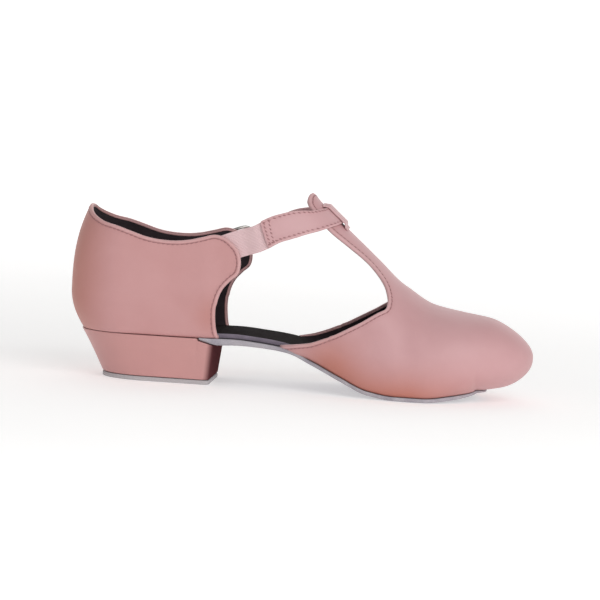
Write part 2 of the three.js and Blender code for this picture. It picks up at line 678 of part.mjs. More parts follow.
// u runs along the strap to the toe, v across it, h out from the quarter.
const atSeat = (u, v, h) => seat.clone().addScaledVector(seatForth, u).addScaledVector(seatAcross, v)
  .addScaledVector(seatUp, h);

const ringLength = BUCKLE_LENGTH / 2 - BUCKLE_WIRE / 2;
const ringWidth = BUCKLE_WIDTH / 2 - BUCKLE_WIRE / 2;
const ringCentre = (turn) => {
  const r = roundness(turn, 3.6);
  const [u, v] = [ringLength * r * Math.cos(turn), ringWidth * r * Math.sin(turn)];
  return [u, v, BAR_LEVEL + BUCKLE_ARCH * (u / ringLength) ** 2];
};
const frameRing = ringBody(36, 8, (i, j) => {
  const turn = 2 * Math.PI * i;
  const angle = 2 * Math.PI * j;
  const [u, v, h] = ringCentre(turn);
  const [u1, v1, h1] = ringCentre(turn + 0.01);
  const way = new THREE.Vector3(u1 - u, v1 - v, h1 - h).normalize();
  const out = new THREE.Vector3(way.y, -way.x, 0).normalize();
  const up = new THREE.Vector3().crossVectors(way, out);
  const arm = out.multiplyScalar(Math.cos(angle)).addScaledVector(up, Math.sin(angle));
  arm.multiplyScalar(BUCKLE_WIRE / 2);
  return atSeat(u + arm.x, v + arm.y, h + arm.z);
});
const bar = rod(atSeat(0, -ringWidth, BAR_LEVEL), atSeat(0, ringWidth, BAR_LEVEL), BAR_WIRE);
const buckleFrame = fromSolid(toSolid(frameRing).add(toSolid(bar)));

// The prong: an eye round the bar and a straight pin that rests on the front of the frame.
const railTop = BAR_LEVEL + BUCKLE_ARCH + BUCKLE_WIRE / 2;
const prongTip = [ringLength + 0.8, railTop + CLEAR + PRONG_WIRE / 2 + 0.5];
const eyeInner = BAR_WIRE / 2 + CLEAR;
const eyeOuter = eyeInner + PRONG_WIRE * 0.6;
const prongEye = ringBody(20, 4, (i, j) => {
  const turn = 2 * Math.PI * i;
  const radius = j < 0.3 || j > 0.7 ? eyeInner : eyeOuter;
  const side = j < 0.1 || j > 0.6 ? -1 : 1;
  return atSeat(radius * Math.cos(turn), side * PRONG_WIRE / 2, BAR_LEVEL + radius * Math.sin(turn));
});
const prongFrom = (width) => rod(
  atSeat((eyeInner + eyeOuter) / 2, 0, BAR_LEVEL + 0.3), atSeat(prongTip[0], 0, prongTip[1]), width);
const prong = fromSolid(toSolid(prongEye).add(toSolid(prongFrom(PRONG_WIRE))));

// The tab that holds the bar: it lies on the quarter and curls round the bar, slit for the prong.
const tabOutline = new THREE.Shape();
const tabLow = CLEAR * 1.5;
tabOutline.moveTo(-TAB_LENGTH, tabLow);
tabOutline.lineTo(0, BAR_LEVEL - CURL);
tabOutline.absarc(0, BAR_LEVEL, CURL, -Math.PI / 2, Math.PI * 0.62, false);
tabOutline.lineTo(-CURL * 1.5, tabLow + TAB_THICKNESS);
tabOutline.lineTo(-TAB_LENGTH, tabLow + TAB_THICKNESS * 0.8);
const tabHole = new THREE.Path();
tabHole.absarc(0, BAR_LEVEL, BAR_WIRE / 2 + CLEAR, 0, Math.PI * 2, true);
tabOutline.holes.push(tabHole);
const placeExtrusion = (shape, width) => {
  const options = { depth: width, bevelEnabled: false, curveSegments: 10 };
  const geometry = new THREE.ExtrudeGeometry(shape, options);
  const p = geometry.getAttribute('position');
  const points = [];
  const triangles = [];
  for (let i = 0; i < p.count; i += 1) points.push(atSeat(p.getX(i), p.getZ(i) - width / 2, p.getY(i)));
  for (let i = 0; i < p.count; i += 3) triangles.push([i, i + 1, i + 2]);
  return bodyOf(points, triangles);
};
const slit = new THREE.Shape();
slit.moveTo(-CURL - 0.6, -1);
slit.lineTo(CURL + 1, -1);
slit.lineTo(CURL + 1, HUMP + 2);
slit.lineTo(-CURL - 0.6, HUMP + 2);
const tab = fromSolid(toSolid(placeExtrusion(tabOutline, TAB_WIDTH))
  .subtract(toSolid(placeExtrusion(slit, PRONG_WIRE + 2 * CLEAR))));

// The strap with its row of holes; the prong passes through one of them.
const BUCKLE_ROW = 15;            // row of STRAP_PATH at the bar of the buckle
let strapSolid = toSolid(strapBlank).subtract(toSolid(prongFrom(PRONG_WIRE + 2 * CLEAR)));
for (const k of [-1, 2, 3]) {
  const reach = k * HOLE_PITCH + HOLE_START;
  const table = STRAP_PATH.map(([at, turn]) => onLast(at, turn));
  let i = BUCKLE_ROW;
  let left = Math.abs(reach);
  const way = reach > 0 ? -1 : 1;
  while (left > table[i].distanceTo(table[i + way])) {
    left -= table[i].distanceTo(table[i + way]);
    i += way;
  }
  const run = left / table[i].distanceTo(table[i + way]);
  const at = STRAP_PATH[i][0] + (STRAP_PATH[i + way][0] - STRAP_PATH[i][0]) * run;
  const turn = STRAP_PATH[i][1] + (STRAP_PATH[i + way][1] - STRAP_PATH[i][1]) * run;
  const punch = rod(lifted(at, turn, -4), lifted(at, turn, 12), HOLE_DIAMETER, 8);
  strapSolid = strapSolid.subtract(toSolid(punch));
}
const strap = fromSolid(strapSolid);

// Elastic and keeper
const BEHIND_QUARTER = -WALL - CLEAR - ELASTIC_THICKNESS;
const BEHIND_STRAP = OVER_LIFT - CLEAR - ELASTIC_THICKNESS;
const ELASTIC_PATH = [
  // at   turn   lift            width
  [0.328, -70.4, BEHIND_QUARTER, ELASTIC_WIDTH],
  [0.375, -66.0, BEHIND_QUARTER, ELASTIC_WIDTH],
  [0.408, -62.4, BEHIND_STRAP, ELASTIC_WIDTH],
  [0.440, -56.2, BEHIND_STRAP, ELASTIC_WIDTH],
];
const elastic = ribbon(ELASTIC_PATH, ELASTIC_THICKNESS, 14, 4);

const OVER_STRAP = OVER_LIFT + STRAP_THICKNESS + CLEAR + 0.15;
const KEEPER_PATH = [
  // at  turn  lift       width
  [0.5300, 0, CLEAR, KEEPER_WIDTH],
  [0.5335, 0, CLEAR, KEEPER_WIDTH],
  [0.5405, 0, OVER_STRAP + 0.2, KEEPER_WIDTH],
  [0.5775, 0, OVER_STRAP + 0.2, KEEPER_WIDTH],
  [0.5845, 0, CLEAR, KEEPER_WIDTH],
  [0.5890, 0, CLEAR, KEEPER_WIDTH],
];
const keeper = ribbon(KEEPER_PATH, KEEPER_THICKNESS, 20, 4);

// The shoe
const pink = { color: 0xcf9d9b, roughness: 0.55, metalness: 0 };
const pieces = [
  ['outsole', outsole, { color: 0xb4b0b2, roughness: 0.95, metalness: 0 }],
  ['insole', insole, { color: 0x77727d, roughness: 0.8, metalness: 0 }],
  ['heel_block', heelBlock, { color: 0xc59390, roughness: 0.5, metalness: 0 }],
  ['top_piece', topPiece, { color: 0xbcb6b8, roughness: 0.85, metalness: 0 }],
  ['quarter', quarter, pink],
  ['vamp', vamp, pink],
  ['strap', strap, { color: 0xcfa7a8, roughness: 0.5, metalness: 0 }],
  ['elastic', elastic, { color: 0xd9b8ba, roughness: 0.85, metalness: 0 }],
  ['strap_keeper', keeper, pink],
  ['buckle_frame', buckleFrame, { color: 0xc9c7c4, roughness: 0.25, metalness: 1 }],
  ['buckle_prong', prong, { color: 0xc9c7c4, roughness: 0.25, metalness: 1 }],
  ['buckle_tab', tab, pink],
];
const shoe = new THREE.Group();
for (const [name, geometry, look] of pieces) {
  const mesh = new THREE.Mesh(geometry, new THREE.MeshStandardMaterial(look));
  mesh.name = name;
  geometry.computeVertexNormals();
  shoe.add(mesh);
}
export default shoe;
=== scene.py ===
# %% [markdown]
# # A dance teacher shoe in leather
# The shoe is a left T-strap sandal: closed round toe, closed heel part, open sides, a strap over the
# instep with a buckle on the outer side and a short elastic on the inner side, a low covered heel and
# a thin suede sole. The solids of the shoe are loaded as a fixed frame in metres. Every leather piece
# is then worked out again on the same last, much finer, so that folds, seams and stitches have a place.

# %% Tools and frame
import math
import bpy
import numpy as np
from mathutils import Matrix


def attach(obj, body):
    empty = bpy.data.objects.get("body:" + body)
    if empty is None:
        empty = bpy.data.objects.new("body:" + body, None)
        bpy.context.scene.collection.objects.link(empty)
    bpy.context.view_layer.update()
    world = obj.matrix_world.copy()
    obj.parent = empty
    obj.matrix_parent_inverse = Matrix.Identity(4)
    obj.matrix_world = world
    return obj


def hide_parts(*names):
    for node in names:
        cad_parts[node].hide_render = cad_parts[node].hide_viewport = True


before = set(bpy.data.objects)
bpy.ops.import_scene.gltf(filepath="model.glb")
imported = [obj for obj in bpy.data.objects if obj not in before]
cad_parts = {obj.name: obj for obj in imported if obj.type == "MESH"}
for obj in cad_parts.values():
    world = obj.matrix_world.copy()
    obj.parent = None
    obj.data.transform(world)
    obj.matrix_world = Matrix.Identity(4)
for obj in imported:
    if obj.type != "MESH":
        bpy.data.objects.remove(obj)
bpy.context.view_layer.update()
MM = 0.001
print("solids:", sorted(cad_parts))

# %% [markdown]
# ## The camera
# The picture was taken from the inner side, a little in front and a little above, with a long lens,
# and the shoe is rolled slightly toe-down in it. A camera 2.4 m away with a narrow view keeps the
# outline as flat as it is there. The pair filled the picture; here the frame closes in on the one shoe.

# %% Camera
AZIMUTH, ELEVATION, ROLL = 5.5, 5.5, 3.3          # degrees
PHOTO_SCALE = 1.31                                 # pixels per mm in the picture
PIXELS_PER_MM = 1.86                               # the one shoe is framed closer than the pair was
DISTANCE = 2.4                                     # metres
IMAGE_WIDTH, SENSOR = 600, 36.0                    # pixels, and mm


def camera_axes(azimuth, elevation, roll):
    """Right, up and back vectors of a camera: turned about Z, raised, then rolled about its own axis."""
    a, e, r = np.radians([azimuth, elevation, roll])
    right = np.array([math.cos(a), math.sin(a), 0.0])
    back = np.array([math.sin(a) * math.cos(e), -math.cos(a) * math.cos(e), math.sin(e)])
    up = np.cross(back, right)
    return (right * math.cos(r) + up * math.sin(r), up * math.cos(r) - right * math.sin(r), back)


def stand(name, data, axes, target, distance):
    """Adds a camera or a lamp that looks at a point in metres from a distance along its back vector."""
    thing = bpy.data.objects.new(name, data)
    columns = np.column_stack([*axes, target + axes[2] * distance])
    thing.matrix_world = Matrix(np.vstack([columns, [0, 0, 0, 1]]).tolist())
    bpy.context.scene.collection.objects.link(thing)
    return thing


axes = camera_axes(AZIMUTH, ELEVATION, ROLL)
near_heel = np.array([0.0, -24.0, 0.0])            # this point of the shoe, in mm,
heel_pixel = (309, 469)                            # lies here in the picture,
middle_pixel = (408, 411)                          # and the middle of the shoe lies here
centre = (near_heel + axes[0] * (middle_pixel[0] - heel_pixel[0]) / PHOTO_SCALE
          + axes[1] * (heel_pixel[1] - middle_pixel[1]) / PHOTO_SCALE)
camera = stand("camera", bpy.data.cameras.new("camera"), axes, centre * MM, DISTANCE)
camera.data.sensor_width = SENSOR
camera.data.lens = SENSOR * DISTANCE / (IMAGE_WIDTH / PIXELS_PER_MM * MM)
camera.data.clip_end = 50
bpy.context.scene.camera = camera
print("lens in mm:", round(camera.data.lens, 1))

# %% [markdown]
# ## The last
# A shoe is built round a last, the wooden form of a foot. Here it is a function: a share of the length
# and a turn round the section give a point. A table of sections holds the ridge, the underside, the
# widest level and the half widths as shares of the shoe's own sizes, and each quarter of a section is
# a superellipse, which is smooth and needs one number for its squareness.

# %% Sizes and sections of the last
LENGTH, HEEL_REACH, BALL_WIDTH = 252.0, 53.5, 84.0
RIDGE_HEIGHT, TOE_TIP_HEIGHT, SEAT_HEIGHT = 105.0, 24.4, 25.5
BACK_LEVEL, BACK_LEAN, BACK_TUCK, BACK_HEIGHT = 47.0, 8.1, 7.7, 92.0
WALL, CLEAR = 1.8, 0.3
SOLE_THICKNESS, INSOLE_THICKNESS, SOLE_REAR = 2.0, 2.5, 19.6
HEEL_ROUND, TOE_ROUND, SOLE_TIP, MOUTH_TIP = 0.118, 0.24, 0.905, 0.885
LOWER_SQUARENESS = 2.2
TOP_CLOSES, UNDERSIDE_CLOSES = 0.90, 0.93          # from these shares on, the toe closes
MOUTH_NARROWS, NARROWING = 0.74, 2.3               # from this share on, mouth and sole narrow to a tip
BACK_FADE = 0.36                                   # up to this share, the back's lean is felt
LAST = np.array([
    # at  ridge bottom widest inner outer innerSole outerSole squareness
    [0.00, 1.250, 1.000, 0.206, 0.350, 0.350, 0.86, 0.86, 2.20],
    [0.10, 1.250, 1.000, 0.204, 0.350, 0.355, 0.87, 0.87, 2.20],
    [0.20, 1.250, 1.000, 0.200, 0.343, 0.360, 0.88, 0.88, 2.20],
    [0.30, 1.250, 1.000, 0.182, 0.338, 0.365, 0.86, 0.87, 2.15],
    [0.36, 1.231, 1.010, 0.178, 0.340, 0.375, 0.80, 0.84, 2.10],
    [0.42, 1.178, 0.965, 0.180, 0.352, 0.392, 0.74, 0.80, 2.05],
    [0.48, 1.070, 0.880, 0.190, 0.375, 0.420, 0.72, 0.79, 2.00],
    [0.54, 0.933, 0.620, 0.215, 0.408, 0.452, 0.74, 0.82, 2.00],
    [0.60, 0.806, 0.330, 0.243, 0.445, 0.478, 0.80, 0.86, 2.00],
    [0.66, 0.680, 0.075, 0.270, 0.478, 0.495, 0.85, 0.88, 2.00],
    [0.72, 0.556, 0.000, 0.308, 0.497, 0.497, 0.88, 0.89, 2.05],
    [0.78, 0.472, 0.000, 0.360, 0.500, 0.482, 0.88, 0.89, 2.15],
    [0.84, 0.443, 0.070, 0.390, 0.485, 0.455, 0.87, 0.87, 2.25],
    [0.90, 0.422, 0.148, 0.427, 0.455, 0.425, 0.84, 0.84, 2.30],
    [0.95, 0.396, 0.262, 0.430, 0.430, 0.400, 0.82, 0.82, 2.30],
    [1.00, 0.370, 0.450, 0.430, 0.410, 0.380, 0.80, 0.80, 2.30],
])
RIDGE, BOTTOM, WIDEST, INNER, OUTER, INNER_SOLE, OUTER_SOLE, SQUARENESS = range(1, 9)


def read(table, column, at):
    """Value of a column at a position: a cubic between rows whose slopes are harmonic means, so that
    it never swings past its rows."""
    x, y = table[:, 0], table[:, column]
    at = np.asarray(at, float)
    slope = np.diff(y) / np.diff(x)
    a, b = slope[:-1], slope[1:]
    middle = np.where(a * b > 0, 2 * a * b / np.where(a * b > 0, a + b, 1), 0)
    tangent = np.concatenate([slope[:1], middle, slope[-1:]])
    i = np.clip(np.searchsorted(x, at) - 1, 0, len(x) - 2)
    step = x[i + 1] - x[i]
    t = np.clip((at - x[i]) / step, 0, 1)
    return (y[i] * (1 + 2 * t) * (1 - t) ** 2 + tangent[i] * step * t * (1 - t) ** 2
            + y[i + 1] * t * t * (3 - 2 * t) + tangent[i + 1] * step * t * t * (t - 1))


def cap(share, power):
    """A quarter of a superellipse: 1 at share 0, falling to 0 at share 1."""
    return np.maximum(1 - np.clip(share, 0, 1) ** power, 0) ** (1 / power)


# %% [markdown]
# The heel and the toe close by the same quarter superellipse. The back of the heel leans forward
# above and below its fullest level, and that shift fades out along the shoe.

# %% Points and directions on the last
FLAT = SOLE_THICKNESS + CLEAR


def section(at, side):
    """Top, bottom, widest level, half width, sole half width and squareness of one side's section."""
    at = np.asarray(at, float)
    tip = TOE_TIP_HEIGHT
    top = tip + (read(LAST, RIDGE, at) * RIDGE_HEIGHT - tip) * cap((at - TOP_CLOSES) / (1 - TOP_CLOSES), 1.9)
    flat = FLAT + read(LAST, BOTTOM, at) * (SEAT_HEIGHT - FLAT)
    bottom = tip - (tip - flat) * cap((at - UNDERSIDE_CLOSES) / (1 - UNDERSIDE_CLOSES), 2.6)
    half = (np.where(side < 0, read(LAST, INNER, at), read(LAST, OUTER, at)) * BALL_WIDTH
            * cap(1 - at / HEEL_ROUND, 2.1) * cap((at - 1 + TOE_ROUND) / TOE_ROUND, 2.2))
    sole = np.where(side < 0, read(LAST, INNER_SOLE, at), read(LAST, OUTER_SOLE, at))
    mouth = half * sole * cap((at - MOUTH_NARROWS) / (MOUTH_TIP - MOUTH_NARROWS), NARROWING)
    level = bottom + read(LAST, WIDEST, at) * (top - bottom)
    return top, bottom, level, half, mouth, sole, read(LAST, SQUARENESS, at)


def back_shift(z):
    """Forward shift of the back of the heel: a power of the height above or below its fullest level."""
    rise = np.maximum(0, z - BACK_LEVEL) / (BACK_HEIGHT - BACK_LEVEL)
    drop = np.maximum(0, BACK_LEVEL - z) / (BACK_LEVEL - SEAT_HEIGHT)
    return BACK_LEAN * rise ** 2.6 + BACK_TUCK * drop ** 2


def along(at, z):
    """Distance forward of the origin for a share of the length at a height."""
    return at * LENGTH - HEEL_REACH + back_shift(z) * np.maximum(0, 1 - at / BACK_FADE) ** 1.6


def roundness(angle, power):
    """Radius of a unit superellipse in a direction."""
    return (np.abs(np.sin(angle)) ** power + np.abs(np.cos(angle)) ** power) ** (-1 / power)


def on_last(at, turn):
    """Points of the last in mm. turn is 0 at the ridge, 90 at the widest level, 180 at the sole,
    negative on the inner side."""
    at, turn = np.broadcast_arrays(np.asarray(at, float), np.asarray(turn, float))
    side = np.where(turn < 0, -1, 1)
    top, bottom, level, half, mouth, _, power = section(at, side)
    angle = np.radians(np.abs(turn))
    upper, lower = roundness(angle, power), roundness(angle, LOWER_SQUARENESS)
    over = np.abs(turn) <= 90
    y = np.where(over, half * upper * np.sin(angle), mouth + (half - mouth) * lower * np.sin(angle))
    z = level + np.where(over, (top - level) * upper, (level - bottom) * lower) * np.cos(angle)
    return np.stack([along(at, z), side * y, z], -1)


def unit(v):
    """Vectors scaled to length one."""
    return v / np.maximum(np.linalg.norm(v, axis=-1, keepdims=True), 1e-12)


AT_STEP, AT_END, TURN_STEP = 0.001, 0.0015, 0.4    # shares of the length, and degrees


def outward(at, turn):
    """Outward unit vectors: the cross product of a short step forward and a short step round. At the
    very back and the very tip, where those steps shrink to nothing, they lie in the middle plane."""
    at, turn = np.broadcast_arrays(np.asarray(at, float), np.asarray(turn, float))
    side = np.where(turn < 0, -1.0, 1.0)
    t = np.clip(np.abs(turn), TURN_STEP, 180 - TURN_STEP)
    a = np.clip(at, AT_END, 1 - AT_END)
    forth = on_last(a + AT_STEP, side * t) - on_last(a - AT_STEP, side * t)
    over = on_last(a, side * (t + TURN_STEP)) - on_last(a, side * (t - TURN_STEP))
    normal = np.cross(forth, over) * side[..., None]
    normal[..., 1] = np.where(np.abs(turn) < TURN_STEP, 0, normal[..., 1])
    rise = on_last(np.zeros_like(at), t - TURN_STEP) - on_last(np.zeros_like(at), t + TURN_STEP)
    rear = np.stack([-rise[..., 2], np.zeros_like(at), rise[..., 0]], -1)
    normal = np.where((at < AT_END)[..., None], rear, normal)
    normal = np.where((at > 1 - AT_END)[..., None], np.array([1.0, 0, 0]), normal)
    return unit(normal)


def lifted(at, turn, lift):
    """Points of the last moved outwards by a lift in mm."""
    return on_last(at, turn) + outward(at, turn) * np.asarray(lift)[..., None]


print("toe tip at", on_last(1.0, 0).round(1), "ball half width", on_last(0.75, 90).round(1))

# %% [markdown]
# ## Outlines
# A pattern maker draws each panel as a curve on the last. The same curves trim the solids, so they are
# repeated here as short tables: a share of the length and a turn, joined by smooth cubics. The heel
# part runs round the back, where shares of the length crowd together, so it gets a coordinate of its
# own that measures millimetres round the heel.

# %% Outlines of the vamp and the quarter
T_BAR_WIDTH = 30.0
ARC = math.radians(40)                             # one degree of turn is about this long, in mm
BAR_EDGE = np.array([
    # at  half width, as a share of half the bar
    [0.5090, 0.00], [0.5100, 0.30], [0.5135, 0.58], [0.5200, 0.80], [0.5300, 0.95], [0.5450, 1.03],
    [0.5620, 1.05], [0.5820, 1.04], [0.6050, 1.01], [0.6280, 0.97], [0.6480, 0.99], [0.6680, 1.12],
])
WING_EDGE = np.array([
    # at  turn
    [0.682, 29.0], [0.690, 36.0], [0.693, 43.0], [0.690, 50.5], [0.674, 58.0], [0.640, 70.8],
    [0.609, 80.5], [0.586, 86.5], [0.5725, 89.5], [0.568, 91.5], [0.549, 104.6], [0.518, 126.4],
    [0.486, 154.0], [0.478, 180.0],
])
QUARTER_EDGE = np.array([
    # at  turn
    [-0.020, 58.5], [0.000, 58.7], [0.012, 60.4], [0.028, 62.0], [0.058, 64.0], [0.094, 65.3],
    [0.130, 67.0], [0.164, 68.6], [0.196, 69.3], [0.228, 69.2], [0.259, 68.2], [0.288, 66.6],
    [0.315, 65.2], [0.338, 65.8], [0.354, 67.6], [0.365, 69.6], [0.371, 72.2], [0.3725, 75.0],
    [0.369, 78.0], [0.353, 81.0], [0.336, 84.8], [0.327, 89.5], [0.324, 103.0], [0.326, 129.0],
    [0.331, 157.0], [0.333, 180.0],
])


def smooth(rows, count):
    """Cubics through the rows, whose slopes weigh the two chords by the square roots of their lengths."""
    p = np.vstack([2 * rows[0] - rows[1], rows, 2 * rows[-1] - rows[-2]])
    gap = np.linalg.norm(np.diff(p[:, :2], axis=0), axis=1) ** 0.5
    t = np.linspace(0, len(rows) - 1, count)
    i = np.minimum(t.astype(int), len(rows) - 2)
    w = (t - i)[:, None]
    a, b, c, d = p[i], p[i + 1], p[i + 2], p[i + 3]
    before, here, after = gap[i][:, None], gap[i + 1][:, None], gap[i + 2][:, None]
    leave = ((b - a) / before - (c - a) / (before + here) + (c - b) / here) * here
    arrive = ((c - b) / here - (d - b) / (here + after) + (d - c) / after) * here
    return (b * (1 + 2 * w) * (1 - w) ** 2 + leave * w * (1 - w) ** 2
            + c * w * w * (3 - 2 * w) + arrive * w * w * (w - 1))


HEEL_RUN = HEEL_ROUND * LENGTH * math.pi / 2       # mm round the heel until its sides run straight


def heel_at(w):
    """Share of the length for a distance round the heel: a cosine over the round part, then straight."""
    w = np.abs(w)
    bend = HEEL_ROUND * (1 - np.cos(np.minimum(w / HEEL_RUN, 1) * math.pi / 2))
    return bend + np.maximum(w - HEEL_RUN, 0) / LENGTH


def heel_way(at):
    """The inverse of heel_at for one side."""
    at = np.maximum(at, 0)
    bend = HEEL_RUN * 2 / math.pi * np.arccos(1 - np.minimum(at / HEEL_ROUND, 1))
    return bend + np.maximum(at - HEEL_ROUND, 0) * LENGTH


TONGUE_FLARE = 3.2                                 # the tongue's inner corner curls back by this much,
FLARE_FROM, FLARE_LENGTH, FLARE_TURN = 0.536, 0.022, 22.0   # over these shares and degrees


def last_place(u, v, lift=0.0):
    """A point over the last for a chart in mm: u along the shoe, v round it from the ridge."""
    return lifted(u / LENGTH, v / ARC, lift)


def vamp_place(u, v, lift=0.0):
    """The same for the vamp, whose tongue stands free above the strap: its inner corner curls back by
    flare * ((from - at) / length)^2 * turn / most, each factor kept between 0 and 1."""
    placed = last_place(u, v, lift)
    placed[..., 0] -= (TONGUE_FLARE * np.clip((FLARE_FROM - u / LENGTH) / FLARE_LENGTH, 0, 1) ** 2
                       * np.clip(-v / ARC / FLARE_TURN, 0, 1))
    return placed


def quarter_place(w, v, lift=0.0):
    """A point over the last for a chart in mm: w round the heel (inner side negative), v downwards."""
    return lifted(heel_at(w), np.where(w < 0, -1, 1) * v / ARC, lift)


def vamp_side(side):
    """Outline of one side of the vamp in its chart, from the tip of the tongue to the sole."""
    half = section(BAR_EDGE[:, 0], np.full(len(BAR_EDGE), side))[3]
    turn = np.degrees(np.arcsin(np.minimum(1, BAR_EDGE[:, 1] * T_BAR_WIDTH / 2 / half)))
    rows = np.vstack([np.column_stack([BAR_EDGE[:, 0], turn]), WING_EDGE]) * [LENGTH, ARC]
    return smooth(rows, 240) * [1, side]


quarter_half = smooth(QUARTER_EDGE * [LENGTH, ARC], 320)
quarter_half = quarter_half[quarter_half[:, 0] >= 0]
quarter_half[:, 0] = heel_way(quarter_half[:, 0] / LENGTH)
vamp_outline = np.vstack([vamp_side(-1)[::-1], vamp_side(1)[1:]])
quarter_outline = np.vstack([quarter_half[::-1] * [-1, 1], quarter_half])
print("collar height at the back:", quarter_place(*quarter_outline[len(quarter_half)]).round(1))

# %% [markdown]
# ## Cutting a panel
# A panel is a fine grid on the last, cut by its outline. A plain cut would leave a ragged, saw-toothed
# edge, so of the two grid points on either side of the cut the nearer one moves onto the outline.
# The sheet then gets its real thickness: an inner copy one wall further in, closed along the edge.

# %% Distances to an outline and the trimmed sheet
def nearest(points, line):
    """Distance of each point to a polyline and the nearest point on it, for any number of axes."""
    start, step = line[:-1], np.diff(line, axis=0)
    size = np.maximum((step ** 2).sum(1), 1e-12)
    distance, foot = np.empty(len(points)), np.empty_like(points)
    for part in np.array_split(np.arange(len(points)), max(1, len(points) // 3000)):
        rel = points[part][:, None] - start
        t = np.clip((rel * step).sum(2) / size, 0, 1)
        off = ((rel - t[..., None] * step) ** 2).sum(2)
        k = off.argmin(1)
        distance[part] = np.sqrt(off[np.arange(len(part)), k])
        foot[part] = start[k] + t[np.arange(len(part)), k][:, None] * step[k]
    return distance, foot


def within(points, polygon):
    """Whether points lie in a closed polygon: an odd number of its sides cross a ray from the point."""
    a, b = polygon, np.roll(polygon, -1, axis=0)
    slope = (b[:, 0] - a[:, 0]) / np.where(b[:, 1] == a[:, 1], 1e-12, b[:, 1] - a[:, 1])
    x, y = points[:, 0][:, None], points[:, 1][:, None]
    hit = ((a[:, 1] > y) != (b[:, 1] > y)) & (x < slope * (y - a[:, 1]) + a[:, 0])
    return hit.sum(1) % 2 == 1


def trim(us, vs, outline, polygon, holes=()):
    """Chart points and triangles of a grid cut by an outline and by round holes (u, v, radius)."""
    grid = np.stack(np.meshgrid(us, vs, indexing="ij"), -1)
    shape = grid.shape[:2]
    points = grid.reshape(-1, 2)
    distance, foot = nearest(points, outline)
    field = np.where(within(points, polygon), distance, -distance)
    for u, v, radius in holes:
        arm = points - [u, v]
        reach = np.maximum(np.linalg.norm(arm, axis=1), 1e-9)
        closer = reach - radius < field
        field = np.where(closer, reach - radius, field)
        foot = np.where(closer[:, None], [u, v] + arm / reach[:, None] * radius, foot)
    field = field.reshape(shape)
    size, inside, snap = np.abs(field), field > 0, np.zeros(shape, bool)
    for a, b in (((slice(0, -1), slice(None)), (slice(1, None), slice(None))),
                 ((slice(None), slice(0, -1)), (slice(None), slice(1, None)))):
        cut = inside[a] != inside[b]
        snap[a] |= cut & (size[a] <= size[b])
        snap[b] |= cut & (size[a] > size[b])
    points = np.where(snap.reshape(-1, 1), foot, points)
    keep = inside | snap
    depth = np.where(snap, 0, field)
    index = np.arange(points.shape[0]).reshape(shape)
    corners = [index[:-1, :-1], index[1:, :-1], index[1:, 1:], index[:-1, 1:]]
    held = [keep[:-1, :-1], keep[1:, :-1], keep[1:, 1:], keep[:-1, 1:]]
    deep = [depth[:-1, :-1], depth[1:, :-1], depth[1:, 1:], depth[:-1, 1:]]
    whole = held[0] & held[1] & held[2] & held[3]
    faces = []
    triples = [(0, 1, 2, whole), (0, 2, 3, whole)]
    for i in range(4):
        j, k, m = (i + 1) % 4, (i + 2) % 4, (i + 3) % 4
        triples.append((i, j, k, ~held[m] & held[i] & held[j] & held[k]))
    for i, j, k, use in triples:
        use = use & (deep[i] + deep[j] + deep[k] > 1e-9)
        faces.append(np.stack([corners[i][use], corners[j][use], corners[k][use]], -1))
    faces = np.vstack(faces)
    used, packed = np.unique(faces, return_inverse=True)
    return points[used], packed.reshape(-1, 3)


def halves(a, b, c, d):
    """Two triangles for each quad whose corners are given as four arrays of point numbers."""
    return np.vstack([np.stack([a, b, c], -1).reshape(-1, 3), np.stack([a, c, d], -1).reshape(-1, 3)])


def open_edges(faces, count):
    """Directed edges that no neighbouring triangle runs back along."""
    edges = np.vstack([faces[:, [0, 1]], faces[:, [1, 2]], faces[:, [2, 0]]])
    return edges[~np.isin(edges[:, 0] * count + edges[:, 1], edges[:, 1] * count + edges[:, 0])]


def thicken(outer, inner, faces):
    """A closed sheet from its outer and inner points: both skins and the strip along the cut edge."""
    n = len(outer)
    p, q = open_edges(faces, n).T
    rim = halves(p, n + p, n + q, q)
    every = np.vstack([faces, rim, faces[:, ::-1] + n])
    kind = np.repeat([0, 0, 1], [len(faces), len(rim), len(faces)])
    return np.vstack([outer, inner]), every, kind


def build(name, points, faces, materials, kind=None, **attributes):
    """A mesh object from points in mm and triangles, with a material for each kind of face."""
    mesh = bpy.data.meshes.new(name)
    mesh.vertices.add(len(points))
    mesh.vertices.foreach_set("co", (np.asarray(points) * MM).astype(np.float32).ravel())
    mesh.loops.add(faces.size)
    mesh.loops.foreach_set("vertex_index", faces.astype(np.int32).ravel())
    mesh.polygons.add(len(faces))
    mesh.polygons.foreach_set("loop_start", np.arange(0, faces.size, 3, dtype=np.int32))
    mesh.polygons.foreach_set("use_smooth", np.ones(len(faces), bool))
    if kind is not None:
        mesh.polygons.foreach_set("material_index", np.asarray(kind, np.int32))
    for key, values in attributes.items():
        field = mesh.attributes.new(key, "FLOAT", "POINT")
        field.data.foreach_set("value", np.asarray(values, np.float32))
    mesh.update(calc_edges=True)
    mesh.validate()
    for material in materials:
        mesh.materials.append(material)
    piece = bpy.data.objects.new(name, mesh)
    bpy.context.scene.collection.objects.link(piece)
    rips = len(open_edges(faces, len(points)))
    print(f"{name}: {len(points)} points, {len(faces)} triangles, open edges {rips}")
    return piece


def dressed(name, points, faces, materials, node, slot, kind=None, **attributes):
    """Builds a piece, lets it ride on the shoe, stand for its solid if it has one, and take its finish."""
    piece = build(name, points, faces, materials, kind, **attributes)
    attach(piece, "root")
    if node:
        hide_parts(node)

# %% [markdown]
# ## Finishes
# Each finish is a principled shader fed by a few procedural nodes. One small helper adds a node, sets
# its plain settings and either links or fills its sockets, so that a material reads from top to bottom.
# Patterns are scaled in real millimetres, because the coordinates of every piece are metres.

